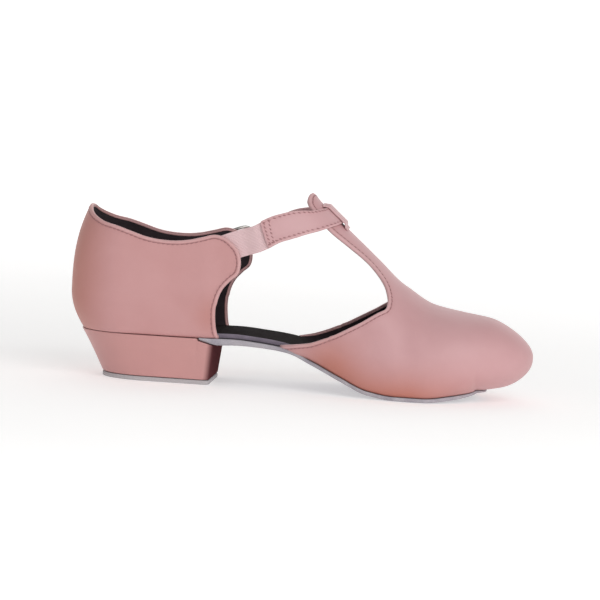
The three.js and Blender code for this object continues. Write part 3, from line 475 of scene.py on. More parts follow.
# %% Helpers for materials
def colour(code):
    """Linear colour from a hexadecimal screen colour: the piecewise screen curve, undone."""
    values = np.array([int(code[i:i + 2], 16) for i in (1, 3, 5)]) / 255
    linear = np.where(values <= 0.04045, values / 12.92, ((values + 0.055) / 1.055) ** 2.4)
    return (*linear.tolist(), 1.0)


def add(tree, kind, sockets=(), **settings):
    """Adds a node; sockets is a list of (input, value or output to link)."""
    made = tree.nodes.new("ShaderNode" + kind)
    for key, value in settings.items():
        setattr(made, key, value)
    for key, value in sockets:
        if isinstance(value, bpy.types.NodeSocket):
            tree.links.new(value, made.inputs[key])
        else:
            made.inputs[key].default_value = value
    return made


def per_mm(size):
    """Texture scale for a pattern of this size in mm."""
    return 1 / (size * MM)


def shader(name, sockets):
    """A material with its principled shader; returns the material, its tree and the shader."""
    material = bpy.data.materials.new(name)
    material.use_nodes = True
    tree = material.node_tree
    body = tree.nodes["Principled BSDF"]
    for key, value in sockets:
        body.inputs[key].default_value = value
    return material, tree, body


def span(tree, value, start, stop, low, high, **settings):
    """A value carried from start..stop to low..high and kept between them."""
    sockets = [("Value", value), ("From Min", start), ("From Max", stop), ("To Min", low), ("To Max", high)]
    return add(tree, "MapRange", sockets, **settings).outputs[0]


def maths(tree, operation, *values):
    """The result of a sum, product or the like of values and numbers."""
    return add(tree, "Math", list(enumerate(values)), operation=operation).outputs[0]


def times(tree, value, factor):
    """A value times a number or another value."""
    return maths(tree, "MULTIPLY", value, factor)


def plus(tree, one, other):
    """The sum of two values."""
    return maths(tree, "ADD", one, other)


def band(tree, value, middle, width):
    """1 where a value is at the middle, falling smoothly to 0 a width away."""
    size = maths(tree, "ABSOLUTE", maths(tree, "SUBTRACT", value, middle))
    return span(tree, size, 0.0, width, 1.0, 0.0, interpolation_type="SMOOTHSTEP")


def own_place(tree):
    """The coordinates of the piece itself, in metres."""
    return add(tree, "TexCoord").outputs["Object"]


def attribute(tree, name):
    """The value of an attribute of the mesh."""
    return add(tree, "Attribute", attribute_name=name).outputs["Fac"]


def noise(tree, place, size, detail, rough=0.5, distortion=0.0):
    """Noise whose patches are about size mm wide."""
    sockets = [("Vector", place), ("Scale", per_mm(size)), ("Detail", detail), ("Roughness", rough),
               ("Distortion", distortion)]
    return add(tree, "TexNoise", sockets).outputs["Fac"]


def bumped(tree, body, height, strength, distance):
    """Gives a finish its relief: a height whose 1 stands for a distance in mm."""
    made = add(tree, "Bump", [("Height", height), ("Strength", strength), ("Distance", distance * MM)])
    tree.links.new(made.outputs[0], body.inputs["Normal"])


def blend(tree, factor, one, other):
    """A mix of two colours by a factor."""
    mixed = add(tree, "Mix", data_type="RGBA")
    for socket, value in ((mixed.inputs[0], factor), (mixed.inputs[6], one), (mixed.inputs[7], other)):
        if isinstance(value, bpy.types.NodeSocket):
            tree.links.new(value, socket)
        else:
            socket.default_value = value
    return mixed.outputs[2]


# %% [markdown]
# The uppers are cut from a soft, dyed leather with a very fine, nearly plain face. Its grain is made of
# small cells about 0.6 mm wide with a still finer noise, far too small to model, so it is bump. A slow
# cloudiness of the dye keeps large areas from looking like plastic. An attribute called rim, the real
# distance to the cut edge in mm, draws the pressed line of the seam with painted shade in and beside its
# groove, and lets the edge wear paler. Two more attributes paint shade into the colour: a warmer, deeper
# tone towards the back of the heel part and the foot of the vamp, and a dark, matt breast of the heel.

# %% Leather
WARM_SHADE, SEAM_SHADE = "#ba6a50", "#8a5552"                  # painted warm shade, and painted shade in a pressed seam
BREAST_SHADE = "#5a3436"                                   # painted shade on the breast of the heel, which also loses its gloss there


def leather(name, base, pale, deep, seam=1.86, rough=0.5, edge_tone=0.35, line_tone=0.5):
    """Leather from three tones. Height = cells + fine noise - the pressed seam line at its distance."""
    material, tree, body = shader(name, [("Roughness", rough), ("Coat Roughness", 0.42)])
    place, rim, dusk = own_place(tree), attribute(tree, "rim"), attribute(tree, "dusk")
    cells = add(tree, "TexVoronoi", [("Vector", place), ("Scale", per_mm(0.62))],
                feature="SMOOTH_F1").outputs["Distance"]
    fine = noise(tree, place, 0.35, 2.0)
    cloud = noise(tree, place, 26, 3.0, rough=0.55)
    wrinkle = noise(tree, place, 5.5, 3.0, distortion=0.4)
    line = band(tree, rim, seam, 0.36)
    tone = blend(tree, span(tree, cloud, 0.36, 0.64, 0.78, 1.0), colour(deep), colour(base))
    # Painted shade goes into these tones: the warm tone, the pressed seam's groove and the band just inside
    # it, and the breast of the heel. The pale edge is wear.
    for share, code in ((times(tree, attribute(tree, "warm"), 0.75), WARM_SHADE),
                        (times(tree, line, line_tone), SEAM_SHADE),
                        (span(tree, rim, seam, seam + 2.6, 0.2, 0.0), deep),
                        (span(tree, rim, seam - 0.35, seam - 1.2, 0.0, edge_tone), pale),
                        (dusk, BREAST_SHADE)):
        tone = blend(tree, share, tone, colour(code))
    tree.links.new(tone, body.inputs["Base Color"])
    # Where the breast of the heel gets painted shade, its gloss is taken away too.
    for socket, most in (("Specular IOR Level", 0.42), ("Coat Weight", 0.06), ("Sheen Weight", 0.05)):
        tree.links.new(span(tree, dusk, 0.0, 1.0, most, 0.0), body.inputs[socket])
    height = times(tree, cells, 0.045)
    for part, depth in ((fine, 0.03), (wrinkle, 0.22), (line, -0.4 * line_tone)):
        height = plus(tree, height, times(tree, part, depth))
    bumped(tree, body, height, 0.7, 1.0)
    tree.links.new(span(tree, fine, 0.0, 1.0, rough - 0.07, rough + 0.07), body.inputs["Roughness"])
    return material


BASE, PALE, DEEP = "#cd9fa1", "#deb9b9", "#bb8787"
upper_leather = leather("dyed_upper_leather", BASE, PALE, DEEP)
strap_leather = leather("leather_of_the_strap", "#d2a7a9", "#e2c0c0", "#bf8d8e", seam=1.15, rough=0.46,
                        edge_tone=0.45, line_tone=0.16)
heel_leather = leather("heel_cover_leather", "#c99491", PALE, DEEP, seam=-20.0, rough=0.44, edge_tone=0.0)
print("leather finishes:", upper_leather.name, strap_leather.name, heel_leather.name)

# %% [markdown]
# The inside is lined with a dark, slightly napped lining, which also covers the insole as a sock. Both
# are a fine fabric: a fibrous noise in the bump and a rough surface, the lining with a faint sheen.

# %% Lining, sock, suede, elastic, thread and metal
def napped(name, base, deep, size, height, sheen=0.25, rough=0.95):
    """A matt fibrous finish: noise at fibre size for height, a slower one for tone."""
    material, tree, body = shader(name, [("Roughness", rough), ("Sheen Weight", sheen),
                                         ("Sheen Roughness", 0.5), ("Specular IOR Level", 0.08)])
    place = own_place(tree)
    fibre = noise(tree, place, size, 4.0, rough=0.7)
    mixed = plus(tree, times(tree, fibre, 0.5), times(tree, noise(tree, place, size * 14, 3.0), 0.5))
    share = span(tree, mixed, 0.36, 0.64, 0.0, 1.0)
    tree.links.new(blend(tree, share, colour(deep), colour(base)), body.inputs["Base Color"])
    bumped(tree, body, fibre, 0.8, height)
    return material


def plain(name, base, rough, metallic=0.0, grain=0.5, height=0.05):
    """A smooth finish with a faint unevenness of tone and height."""
    material, tree, body = shader(name, [("Roughness", rough), ("Metallic", metallic)])
    uneven = noise(tree, own_place(tree), grain, 3.0)
    dark = colour("#" + "".join(f"{int(int(base[i:i + 2], 16) * 0.86):02x}" for i in (1, 3, 5)))
    tree.links.new(blend(tree, uneven, dark, colour(base)), body.inputs["Base Color"])
    bumped(tree, body, uneven, 0.5, height)
    tree.links.new(span(tree, uneven, 0.0, 1.0, rough - 0.05, rough + 0.08), body.inputs["Roughness"])
    return material


RIB_PITCH, PICK_PITCH = 0.8, 0.62                  # mm, of the elastic


def woven_elastic(name, base, deep):
    """Ribbed elastic: the height is the cosine of side over the rib pitch plus a smaller one of run over
    the pick pitch. The attributes side and run are mm across and along the band."""
    material, tree, body = shader(name, [("Roughness", 0.8), ("Sheen Weight", 0.2),
                                         ("Specular IOR Level", 0.3)])
    ribs = maths(tree, "COSINE", times(tree, attribute(tree, "side"), 2 * math.pi / RIB_PITCH))
    picks = maths(tree, "COSINE", times(tree, attribute(tree, "run"), 2 * math.pi / PICK_PITCH))
    weave = plus(tree, times(tree, ribs, 0.26), times(tree, picks, 0.12))
    share = span(tree, weave, -0.75, 0.3, 0.0, 1.0)
    tree.links.new(blend(tree, share, colour(deep), colour(base)), body.inputs["Base Color"])
    bumped(tree, body, weave, 0.8, 0.3)
    return material


lining = napped("dark_lining", "#3d3538", "#2e272b", 0.5, 0.15, sheen=0.06)
sock = napped("dark_sock", "#231a1b", "#181213", 0.6, 0.2, sheen=0.0)
board = napped("insole_edge", "#8d8390", "#726a76", 0.5, 0.15)
suede = napped("sole_suede", "#c0bbc0", "#9c96a0", 0.45, 0.35)
rubber = plain("top_piece_rubber", "#c3bdbf", 0.8, grain=0.8, height=0.1)
elastic_web = woven_elastic("woven_elastic", "#e9cbcd", "#d3abad")
thread = plain("sewing_thread", "#b07f81", 0.6, grain=0.2, height=0.04)
nickel = plain("nickel_wire", "#c4c1bd", 0.24, metallic=1.0, grain=0.7, height=0.01)
print("finishes:", len(bpy.data.materials))

# %% [markdown]
# ## The vamp
# The vamp is one piece of leather with the bar of the T and its tongue grown from it. It was pulled
# over the last wet, so it is smooth, with only slow hollows where the foot bends and where the wings
# run to the sole. Each of these is a row: a place, a length and a width in mm, a depth and a direction,
# and the height it adds is a bell curve along and across that direction.

# %% Soft creases and the leather sheets
CREASES = np.array([
    # at   turn  length width depth degrees
    [0.640, 58.0, 26.0, 5.0, -0.55, 62.0],
    [0.660, 40.0, 18.0, 4.5, 0.40, 70.0],
    [0.725, 74.0, 22.0, 5.5, -0.45, 78.0],
    [0.748, 66.0, 24.0, 5.0, 0.35, 82.0],
    [0.775, 78.0, 20.0, 5.0, -0.35, 85.0],
    [0.625, -62.0, 26.0, 5.0, -0.50, -60.0],
    [0.665, -44.0, 18.0, 4.5, 0.35, -68.0],
    [0.735, -72.0, 24.0, 5.5, -0.40, -80.0],
    [0.760, -60.0, 22.0, 5.0, 0.30, -84.0],
    [0.700, 8.0, 16.0, 6.0, -0.30, 88.0],
    [0.740, -6.0, 20.0, 6.5, 0.25, 90.0],
    [0.560, -100.0, 12.0, 6.0, -0.45, -20.0],
    [0.560, 100.0, 12.0, 6.0, -0.45, 20.0],
])
HEEL_CREASES = np.array([
    # at   turn  length width depth degrees
    [0.075, 96.0, 20.0, 7.0, -0.45, 10.0],
    [0.150, 86.0, 22.0, 7.0, 0.35, 20.0],
    [0.225, 100.0, 18.0, 6.0, -0.40, 60.0],
    [0.285, 84.0, 16.0, 5.0, 0.40, 75.0],
    [0.090, -98.0, 20.0, 7.0, -0.40, -12.0],
    [0.170, -84.0, 24.0, 7.0, 0.40, -18.0],
    [0.240, -98.0, 18.0, 6.0, -0.45, -62.0],
    [0.300, -84.0, 16.0, 5.0, 0.40, -76.0],
])
DETAIL = 1.0
SAME_POINT = 0.004                                 # points closer than this, in mm, become one


def relief(at, turn, table):
    """Height in mm of all creases: depth * exp(-(along/length)^2 - (across/width)^2), summed."""
    height = np.zeros(np.broadcast(at, turn).shape)
    for row_at, row_turn, length, width, depth, degrees in table:
        x, y = (at - row_at) * LENGTH, (turn - row_turn) * ARC
        c, s = math.cos(math.radians(degrees)), math.sin(math.radians(degrees))
        height += depth * np.exp(-((x * c + y * s) / length) ** 2 - ((y * c - x * s) / width) ** 2)
    return height


def stations(start, stop, step):
    """Evenly spaced values, as near to a step as they can be."""
    return np.linspace(start, stop, max(2, int(round(abs(stop - start) / step * DETAIL))) + 1)


def sheet(us, vs, outline, closing, place, table, chart):
    """A trimmed and thickened leather panel; returns points, faces, kinds of face and rim distances."""
    polygon = np.vstack([outline, closing])
    points, faces = trim(us, vs, outline, polygon)
    at, turn = chart(points)
    height = relief(at, turn, table)
    outer = place(points[:, 0], points[:, 1], height)
    inner = place(points[:, 0], points[:, 1], height - WALL)
    edge = place(outline[:, 0], outline[:, 1], np.zeros(len(outline)))
    _, first, same = np.unique(np.round(outer / SAME_POINT).astype(np.int64), axis=0,
                               return_index=True, return_inverse=True)
    faces = same.reshape(-1)[faces]
    a, b, c = faces.T
    faces = faces[(a != b) & (b != c) & (c != a)]
    rim = nearest(outer[first], edge)[0]
    solid, faces, kind = thicken(outer[first], inner[first], faces)
    return solid, faces, kind, np.tile(rim, 2)


def vamp_chart(points):
    """Share of the length and turn of chart points."""
    return points[:, 0] / LENGTH, points[:, 1] / ARC


def quarter_chart(points):
    """Share of the length and turn of chart points round the heel."""
    return heel_at(points[:, 0]), np.where(points[:, 0] < 0, -1, 1) * points[:, 1] / ARC


toe_bend = np.sin(stations(0, 90, 1.75) * math.pi / 180)
vamp_us = np.concatenate([stations(0.470, 0.900, 0.0036), 0.9 + 0.1 * toe_bend[1:]]) * LENGTH
vamp_vs = stations(-180, 180, 1.3) * ARC
far, beyond = 1.2 * LENGTH, 200 * ARC              # the outlines are closed outside their charts
vamp_sheet = sheet(vamp_us, vamp_vs, vamp_outline,
                   np.array([[vamp_outline[-1, 0], beyond], [far, beyond],
                             [far, -beyond], [vamp_outline[0, 0], -beyond]]),
                   vamp_place, CREASES, vamp_chart)
quarter_us = stations(-0.47 * LENGTH, 0.47 * LENGTH, 0.9)
quarter_vs = stations(52, 180, 1.3) * ARC
quarter_sheet = sheet(quarter_us, quarter_vs, quarter_outline,
                      np.array([[quarter_outline[-1, 0], beyond], [quarter_outline[0, 0], beyond]]),
                      quarter_place, HEEL_CREASES, quarter_chart)


def warmth(points, name):
    """Share of the warm tone, from 0 to 1. Its ramps towards the back of the heel part and the foot of the
    vamp are painted shade; it also has an even share over the heel part, and a bell curve at the front
    corner of the one and at the inner joint of the other."""
    x, _, z = points.T
    if name == "quarter":
        corner = 0.3 * np.exp(-((x - 27) / 9) ** 2 - ((z - 38) / 9) ** 2)
        return np.clip(0.24 + corner + 0.76 * np.clip((-28 - x) / 24, 0, 1) ** 1.3, 0, 1)
    low = np.clip((26 - z) / 22, 0, 1) ** 1.6 * np.clip((185 - x) / 50, 0, 1)
    return np.clip(low + 0.7 * np.exp(-((x - 92) / 16) ** 2 - ((z - 18) / 14) ** 2), 0, 1)


print("vamp triangles:", len(vamp_sheet[1]), "quarter triangles:", len(quarter_sheet[1]))

# %% [markdown]
# ## Folded edges
# The visible edges of both panels are folded over and sewn down. The fold is a soft roll: it starts at
# the seam line, stands a little proud, turns over the cut edge and ends on the lining. It is a profile
# of a few offsets and lifts carried along the outline, stepping over the surface so that it lies flat.

# %% Profiles carried along an outline
def step_over(place, chart, way, distance):
    """Moves chart points so that their places move by a distance along a direction in space: the two
    tangents of the surface give two equations for the two chart steps."""
    h = 0.25
    u, v = chart.T
    eu = (place(u + h, v) - place(u - h, v)) / (2 * h)
    ev = (place(u, v + h) - place(u, v - h)) / (2 * h)
    a, b, c = (eu * eu).sum(1), (eu * ev).sum(1), (ev * ev).sum(1)
    p, q = (eu * way).sum(1) * distance, (ev * way).sum(1) * distance
    det = a * c - b * b
    return chart + np.column_stack([(p * c - q * b) / det, (q * a - p * b) / det])


def place_normal(place, chart):
    """Unit normal of a placed chart."""
    u, v = chart.T
    return unit(place(u, v, np.ones(len(u))) - place(u, v, np.zeros(len(u))))


def run_along(points):
    """Distance travelled from the first point to each point."""
    return np.concatenate([[0], np.cumsum(np.linalg.norm(np.diff(points, axis=0), axis=1))])


def even_chart(place, outline, step):
    """Chart points evenly spaced in real distance along an outline."""
    run = run_along(place(outline[:, 0], outline[:, 1]))
    at = np.linspace(0, run[-1], int(round(run[-1] / step)) + 1)
    return np.column_stack([np.interp(at, run, outline[:, k]) for k in range(2)])


def frames_along(place, chart, inward):
    """Normal and inward direction at each point of an outline; inward is 1 or -1 times the cross
    product of normal and travel."""
    travel = unit(np.gradient(place(chart[:, 0], chart[:, 1]), axis=0))
    normal = place_normal(place, chart)
    return normal, unit(np.cross(normal, travel)) * inward


FOLD = np.array([
    # inwards  lift
    [1.75, -0.30], [1.68, 0.00], [1.50, 0.09], [1.20, 0.14], [0.80, 0.16], [0.35, 0.12], [0.00, -0.04],
    [-0.20, -0.30], [-0.30, -0.72], [-0.26, -1.20], [-0.08, -1.60], [0.30, -1.88], [0.90, -1.94],
    [1.30, -1.90], [1.45, -1.65],
])


FOLD_STEP = 0.8                                    # mm between the rings of a fold


def fold(place, outline, inward, table, chart):
    """The folded edge as a closed tube over the outline; returns points, faces and rim distances."""
    line = even_chart(place, outline, FOLD_STEP / DETAIL)
    _, across = frames_along(place, line, inward)
    rows = []
    for offset, lift in FOLD:
        moved = step_over(place, line, across, max(offset, 0.0))
        base = relief(*chart(moved), table) + lift
        rows.append(place(moved[:, 0], moved[:, 1], base) + across * min(offset, 0.0))
    grid = np.stack(rows, 1)
    return (*tube(grid), np.tile(np.abs(FOLD[:, 0]), len(grid)))


def tube(grid):
    """Triangles of a grid of n rings with m points each, closed round, its ends closed by fans."""
    n, m = grid.shape[:2]
    index = np.arange(n * m).reshape(n, m)
    a, b = index[:-1], np.roll(index, -1, axis=1)[:-1]
    c, d = index[1:], np.roll(index, -1, axis=1)[1:]
    faces = [halves(a, b, d, c)]
    inner = np.arange(1, m - 1)
    faces.append(np.column_stack([np.zeros(m - 2, int), inner + 1, inner]))
    last = (n - 1) * m
    faces.append(np.column_stack([np.full(m - 2, last), last + inner, last + inner + 1]))
    points, faces = grid.reshape(-1, 3), np.vstack(faces)
    return points, outward_turned(points, faces)


def outward_turned(points, faces):
    """Turns all triangles over if the volume they enclose is negative."""
    a, b, c = (points[faces[:, k]] for k in range(3))
    return faces if (a * np.cross(b, c)).sum() > 0 else faces[:, ::-1]


def merged(*parts):
    """Points and faces of several closed bodies as one mesh."""
    starts = np.cumsum([0] + [len(p) for p, _ in parts[:-1]])
    return np.vstack([p for p, _ in parts]), np.vstack([f + s for (_, f), s in zip(parts, starts)])


def joined(*parts):
    """The same for bodies that also have a kind for each face and a rim distance for each point."""
    kinds = np.concatenate([np.broadcast_to(k, len(f)) for _, f, k, _ in parts])
    return (*merged(*[part[:2] for part in parts]), kinds, np.concatenate([part[3] for part in parts]))


vamp_fold = fold(vamp_place, vamp_outline, -1, CREASES, vamp_chart)
quarter_fold = fold(quarter_place, quarter_outline, 1, HEEL_CREASES, quarter_chart)
for name, part, edge, node in (("vamp_leather", vamp_sheet, vamp_fold, "vamp"),
                               ("quarter_leather", quarter_sheet, quarter_fold, "quarter")):
    points, faces, kind, rim = joined(part, (edge[0], edge[1], 0, edge[2]))
    dressed(name, points, faces, [upper_leather, lining], node, "leather", kind=kind, rim=rim,
            warm=warmth(points, node))

# %% [markdown]
# ## Sole, insole and heel
# The outsole is a thin suede sole with rounded edges, thicker where it meets the heel block. It is
# lofted: at each station a flat loop is drawn whose corners are quarter circles, and the loops are
# joined from the waist to the tip. The insole is made in the same way and carries a dark sock.

# %% Lofted soles
SOLE_WEDGE = np.array([
    # at  thickness
    [0.290, 0.45], [0.335, 1.65], [0.380, 1.40], [0.430, 1.15], [0.500, 1.00],
    [0.840, 1.00], [0.905, 0.50], [1.000, 0.40],
])
sole_rear = (SOLE_REAR + HEEL_REACH) / LENGTH
ACROSS = np.sin(np.linspace(-1, 1, 33) * math.pi / 2)


def rounded(depth, radius):
    """Drop of a rounded edge at a depth from it: radius - sqrt(radius^2 - (radius - depth)^2)."""
    return radius - np.sqrt(np.maximum(radius ** 2 - np.maximum(radius - depth, 0) ** 2, 0))


def slab(x, inner, outer, top, thickness, radius):
    """Rings of a flat sole: from the inner to the outer side on top and back below."""
    half, middle = (outer + inner) / 2, (outer - inner) / 2
    y = middle[:, None] + half[:, None] * ACROSS
    corner = np.minimum(radius, thickness * 0.499)[:, None]
    drop = rounded((1 - np.abs(ACROSS)) * np.maximum(half, 0)[:, None], corner)
    up = np.stack([np.broadcast_to(x[:, None], y.shape), y, top[:, None] - drop], -1)
    low = np.stack([np.broadcast_to(x[:, None], y.shape), y, (top - thickness)[:, None] + drop], -1)
    return np.concatenate([up, low[:, ::-1]], 1)


def sole_half(at, side, beyond):
    """Half width of the outsole: part of the way from the mouth of the upper to its widest level."""
    _, _, _, half, _, share, _ = section(at, np.full(len(at), side))
    narrowing = cap((at - MOUTH_NARROWS) / (SOLE_TIP - MOUTH_NARROWS), NARROWING)
    return half * (share + beyond * (1 - share)) * narrowing


def pressed(at, y):
    """Rise in mm of the underside of the upper, (level - bottom) * (1 - (1 - q^s)^(1/s)): s is the lower
    squareness and q the share of the way from the edge of the mouth to the widest place."""
    _, bottom, level, half, mouth, _, _ = section(np.broadcast_to(at, y.shape), np.where(y < 0, -1, 1))
    q = np.clip((np.abs(y) - mouth) / np.maximum(half - mouth, 1e-6), 0, 0.9)
    return (level - bottom) * (1 - cap(q, LOWER_SQUARENESS))


SOLE_BEYOND, SOLE_CORNER, INSOLE_CORNER = 0.45, 0.7, 0.5
PRESS_FROM, PRESS_LENGTH = 0.82, 0.06              # the edge of the sole is half pressed up, here fully
t = np.linspace(0, 1, 150)
at = sole_rear + (SOLE_TIP - sole_rear) * (1 - (1 - t) ** 1.7)
below = section(at, np.ones(len(at)))[1]
rings = slab(along(at, below - CLEAR), sole_half(at, -1, SOLE_BEYOND), sole_half(at, 1, SOLE_BEYOND),
             below - CLEAR, read(SOLE_WEDGE, 1, at) * SOLE_THICKNESS, SOLE_CORNER)
press = 0.5 + 0.5 * np.clip((at - PRESS_FROM) / PRESS_LENGTH, 0, 1)
rings[..., 2] += pressed(at[:, None], rings[..., 1]) * press[:, None]
dressed("suede_outsole", *tube(rings), [suede], "outsole", "suede")

INSOLE_SHORT, INSOLE_AHEAD = 0.015, 0.014          # shares of the length
SOCK_INSET = 0.35                                  # mm of board that shows round the sock
at = AT_END + (MOUTH_TIP - INSOLE_SHORT - AT_END) * (0.35 * t + 0.65 * (0.5 - 0.5 * np.cos(math.pi * t)))
ahead = at + INSOLE_AHEAD * np.clip((at - 0.7) / 0.1, 0, 1)
edges = [np.maximum(0, section(ahead, np.full(len(at), side))[4] - 2 * CLEAR - 0.6 * WALL)
         for side in (-1, 1)]
below = section(at, np.ones(len(at)))[1]
x = along(at, below) + (WALL + 2 * CLEAR) * np.maximum(0, 1 - at / 0.05)
rings = slab(x, *edges, below + CLEAR / 2 + INSOLE_THICKNESS, np.full(len(at), INSOLE_THICKNESS),
             INSOLE_CORNER)
points, faces = tube(rings)
inset = (1 - np.abs(ACROSS)) * (edges[0] + edges[1])[:, None] / 2
inset = np.concatenate([inset, np.zeros(inset.shape)], 1).ravel()
on_top = (inset > SOCK_INSET)[faces].all(1)
dressed("insole_and_sock", points, faces, [board, sock], "insole", "insole", kind=on_top.astype(int))

# %% [markdown]
# The low heel is a wooden block covered in the upper leather: its back slopes forward, its breast is
# straight and leans back a little, and its top follows the seat and the end of the outsole. Rings at
# many heights carry the outline, and the first and last ones are drawn in, so that its edges are soft.

# %% Heel block and top piece
BLOCK_BREAST, BREAST_SLOPE, BLOCK_BACK_SLOPE = 28.0, 1.8, 12.6
TOP_PIECE_WIDTH, TOP_PIECE_THICKNESS = 45.0, 2.3
BLOCK_ROUND = 0.44                                 # share of the block's length that its back rounds off
CORNER_FROM, CORNER_PULL = 0.955, 0.13             # where its front corners start and how far they pull in
SIDE_POINTS, FRONT_POINTS = 90, 32


def block_edge(t, side, up):
    """Outline of the block from the middle of its back (t = 0) to the breast (t = 1) at a height share."""
    rear = along(0, SEAT_HEIGHT)
    back_x = rear - 0.9 + BLOCK_BACK_SLOPE * (1 - up) ** 0.9
    breast = BLOCK_BREAST - BREAST_SLOPE * (1 - up)
    _, _, _, seat_half, _, seat_share, _ = section(0.2, side)
    half = TOP_PIECE_WIDTH / 2 + (seat_half * (0.5 + 0.5 * seat_share) - TOP_PIECE_WIDTH / 2) * up ** 1.15
    s = 0.5 - 0.5 * np.cos(math.pi * t)
    corner = 1 - CORNER_PULL * (1 - cap((s - CORNER_FROM) / (1 - CORNER_FROM), 2.0))
    y = half * cap(1 - s / BLOCK_ROUND, 2.15) * corner * (1 - 0.035 * np.maximum(0, s - BLOCK_ROUND))
    return back_x + (breast - back_x) * s, side * y


def block_top(x):
    """Top of the block: under the seat, and under the thickened end of the outsole in front."""
    at = (x + HEEL_REACH) / LENGTH
    tucked = np.where(x > SOLE_REAR - CLEAR, read(SOLE_WEDGE, 1, at) * SOLE_THICKNESS + CLEAR, 0)
    return section(at, np.ones(np.shape(at)))[1] - CLEAR - tucked


def block_rings(ups, inset, bottom, top_of):
    """Closed outlines at height shares, each drawn in by an inset, from the outer side round the back."""
    t = np.concatenate([np.linspace(1, 0, SIDE_POINTS), np.linspace(0, 1, SIDE_POINTS)[1:]])
    side = np.concatenate([np.ones(SIDE_POINTS), -np.ones(SIDE_POINTS - 1)])
    top = top_of(np.concatenate([block_edge(t, 1, 1.0)[0], np.full(FRONT_POINTS, BLOCK_BREAST)]))
    rings = []
    for up, pull in zip(ups, inset):
        x, y = (np.where(side > 0, a, b) for a, b in zip(block_edge(t, 1, up), block_edge(t, -1, up)))
        front_y = np.linspace(y[-1], y[0], FRONT_POINTS + 2)[1:-1]
        arm = np.column_stack([np.append(x, np.full(FRONT_POINTS, x[-1])), np.append(y, front_y)])
        flat = arm * (1 - pull / np.maximum(np.linalg.norm(arm, axis=1), 1e-6))[:, None]
        rings.append(np.column_stack([flat, bottom + (top - bottom) * up]))
    return np.stack(rings)


ups = np.concatenate([[0, 0.004, 0.015, 0.035], np.linspace(0.06, 0.94, 30), [0.965, 0.985, 0.996, 1]])
inset = np.concatenate([[0.9, 0.45, 0.15, 0.03], np.zeros(30), [0.02, 0.08, 0.20, 0.42]])
block = block_rings(ups, inset, TOP_PIECE_THICKNESS + CLEAR, block_top)
points, faces = tube(block)
# Painted shade on the breast of the heel: full on its face, fading over a few mm behind it.
behind = block[..., 0].max(axis=1, keepdims=True) - block[..., 0]
BREAST_SHADE_DEPTH = 3.0                                   # mm behind the breast over which the painted shade fades
FAR_FROM_EDGE = 9.0                                # rim distance in mm of leather without a cut edge
dressed("covered_heel", points, faces, [heel_leather], "heel_block", "leather",
        rim=np.full(len(points), FAR_FROM_EDGE), dusk=np.clip(1.1 - behind / BREAST_SHADE_DEPTH, 0, 1).ravel())


def lid_rings(ups, inset):
    """The top piece: the block's lowest outline, a plate of its own thickness."""
    flat = block_rings(np.zeros(len(ups)), inset, 0.0, lambda x: 0 * x)
    flat[..., 2] = np.array(ups)[:, None] * TOP_PIECE_THICKNESS
    return flat


dressed("heel_top_piece", *tube(lid_rings([0, 0.06, 0.2, 0.8, 0.94, 1], [0.35, 0.1, 0, 0, 0.1, 0.35])),
        [rubber], "top_piece", "top_piece")

# %% [markdown]
# ## The strap
# The strap starts with a square end sewn to the elastic on the inner side, crosses the bar of the T
# under the keeper, goes up through the buckle on the outer side and ends along the quarter. A path
# table on the last gives its place, its lift and its width; the strap is then a sheet with rounded
# edges, real holes and a tapered tail, worked out in the strap's own coordinates.

# %% Ribbons that lie on the last
STRAP_THICKNESS, STRAP_WIDTH, STRAP_END_WIDTH = 1.2, 11.6, 15.0
ELASTIC_WIDTH, ELASTIC_THICKNESS = 14.5, 1.0
KEEPER_WIDTH, KEEPER_THICKNESS = 13.0, 1.0
BUCKLE_LENGTH, BUCKLE_WIDTH, BUCKLE_WIRE, BUCKLE_ARCH = 20.0, 17.4, 1.7, 2.4
BAR_WIRE, PRONG_WIRE, TAB_WIDTH, TAB_LENGTH, TAB_THICKNESS = 1.2, 1.2, 9.0, 17.0, 1.0
HOLE_DIAMETER, HOLE_PITCH = 2.2, 8.5
BAR_LEVEL = CLEAR + TAB_THICKNESS + CLEAR + BAR_WIRE / 2
CURL = BAR_WIRE / 2 + CLEAR + TAB_THICKNESS
HUMP = BAR_LEVEL + CURL + CLEAR + 0.2
OVER_TAB = CLEAR + TAB_THICKNESS + CLEAR + 0.2
STRAP_PATH = np.array([
    # at   turn   lift   width
    [0.4140, -61.5, CLEAR, STRAP_END_WIDTH], [0.4440, -55.2, CLEAR, STRAP_END_WIDTH],
    [0.4700, -49.4, CLEAR, STRAP_END_WIDTH], [0.4985, -41.5, CLEAR, STRAP_END_WIDTH * 0.93],
    [0.5260, -31.5, CLEAR, STRAP_WIDTH * 1.06], [0.5500, -16.5, CLEAR, STRAP_WIDTH],
    [0.5585, 0.0, CLEAR, STRAP_WIDTH], [0.5500, 16.5, CLEAR, STRAP_WIDTH],
    [0.5260, 31.5, CLEAR, STRAP_WIDTH], [0.4985, 41.5, CLEAR, STRAP_WIDTH],
    [0.4700, 49.4, CLEAR, STRAP_WIDTH], [0.4360, 58.0, CLEAR, STRAP_WIDTH],
    [0.4050, 63.3, CLEAR, STRAP_WIDTH], [0.3830, 66.4, CLEAR, STRAP_WIDTH],
    [0.3640, 68.5, CLEAR, STRAP_WIDTH], [0.3410, 70.8, HUMP, STRAP_WIDTH],
    [0.3170, 72.6, OVER_TAB, STRAP_WIDTH], [0.2950, 73.8, OVER_TAB, STRAP_WIDTH],
    [0.2660, 75.0, OVER_TAB, STRAP_WIDTH], [0.2280, 75.8, CLEAR, STRAP_WIDTH],
    [0.1950, 76.0, CLEAR, STRAP_WIDTH * 0.96],
])
BUCKLE_ROW, ROW_STEPS, RIBBON_STEPS = 15, 60, 1200


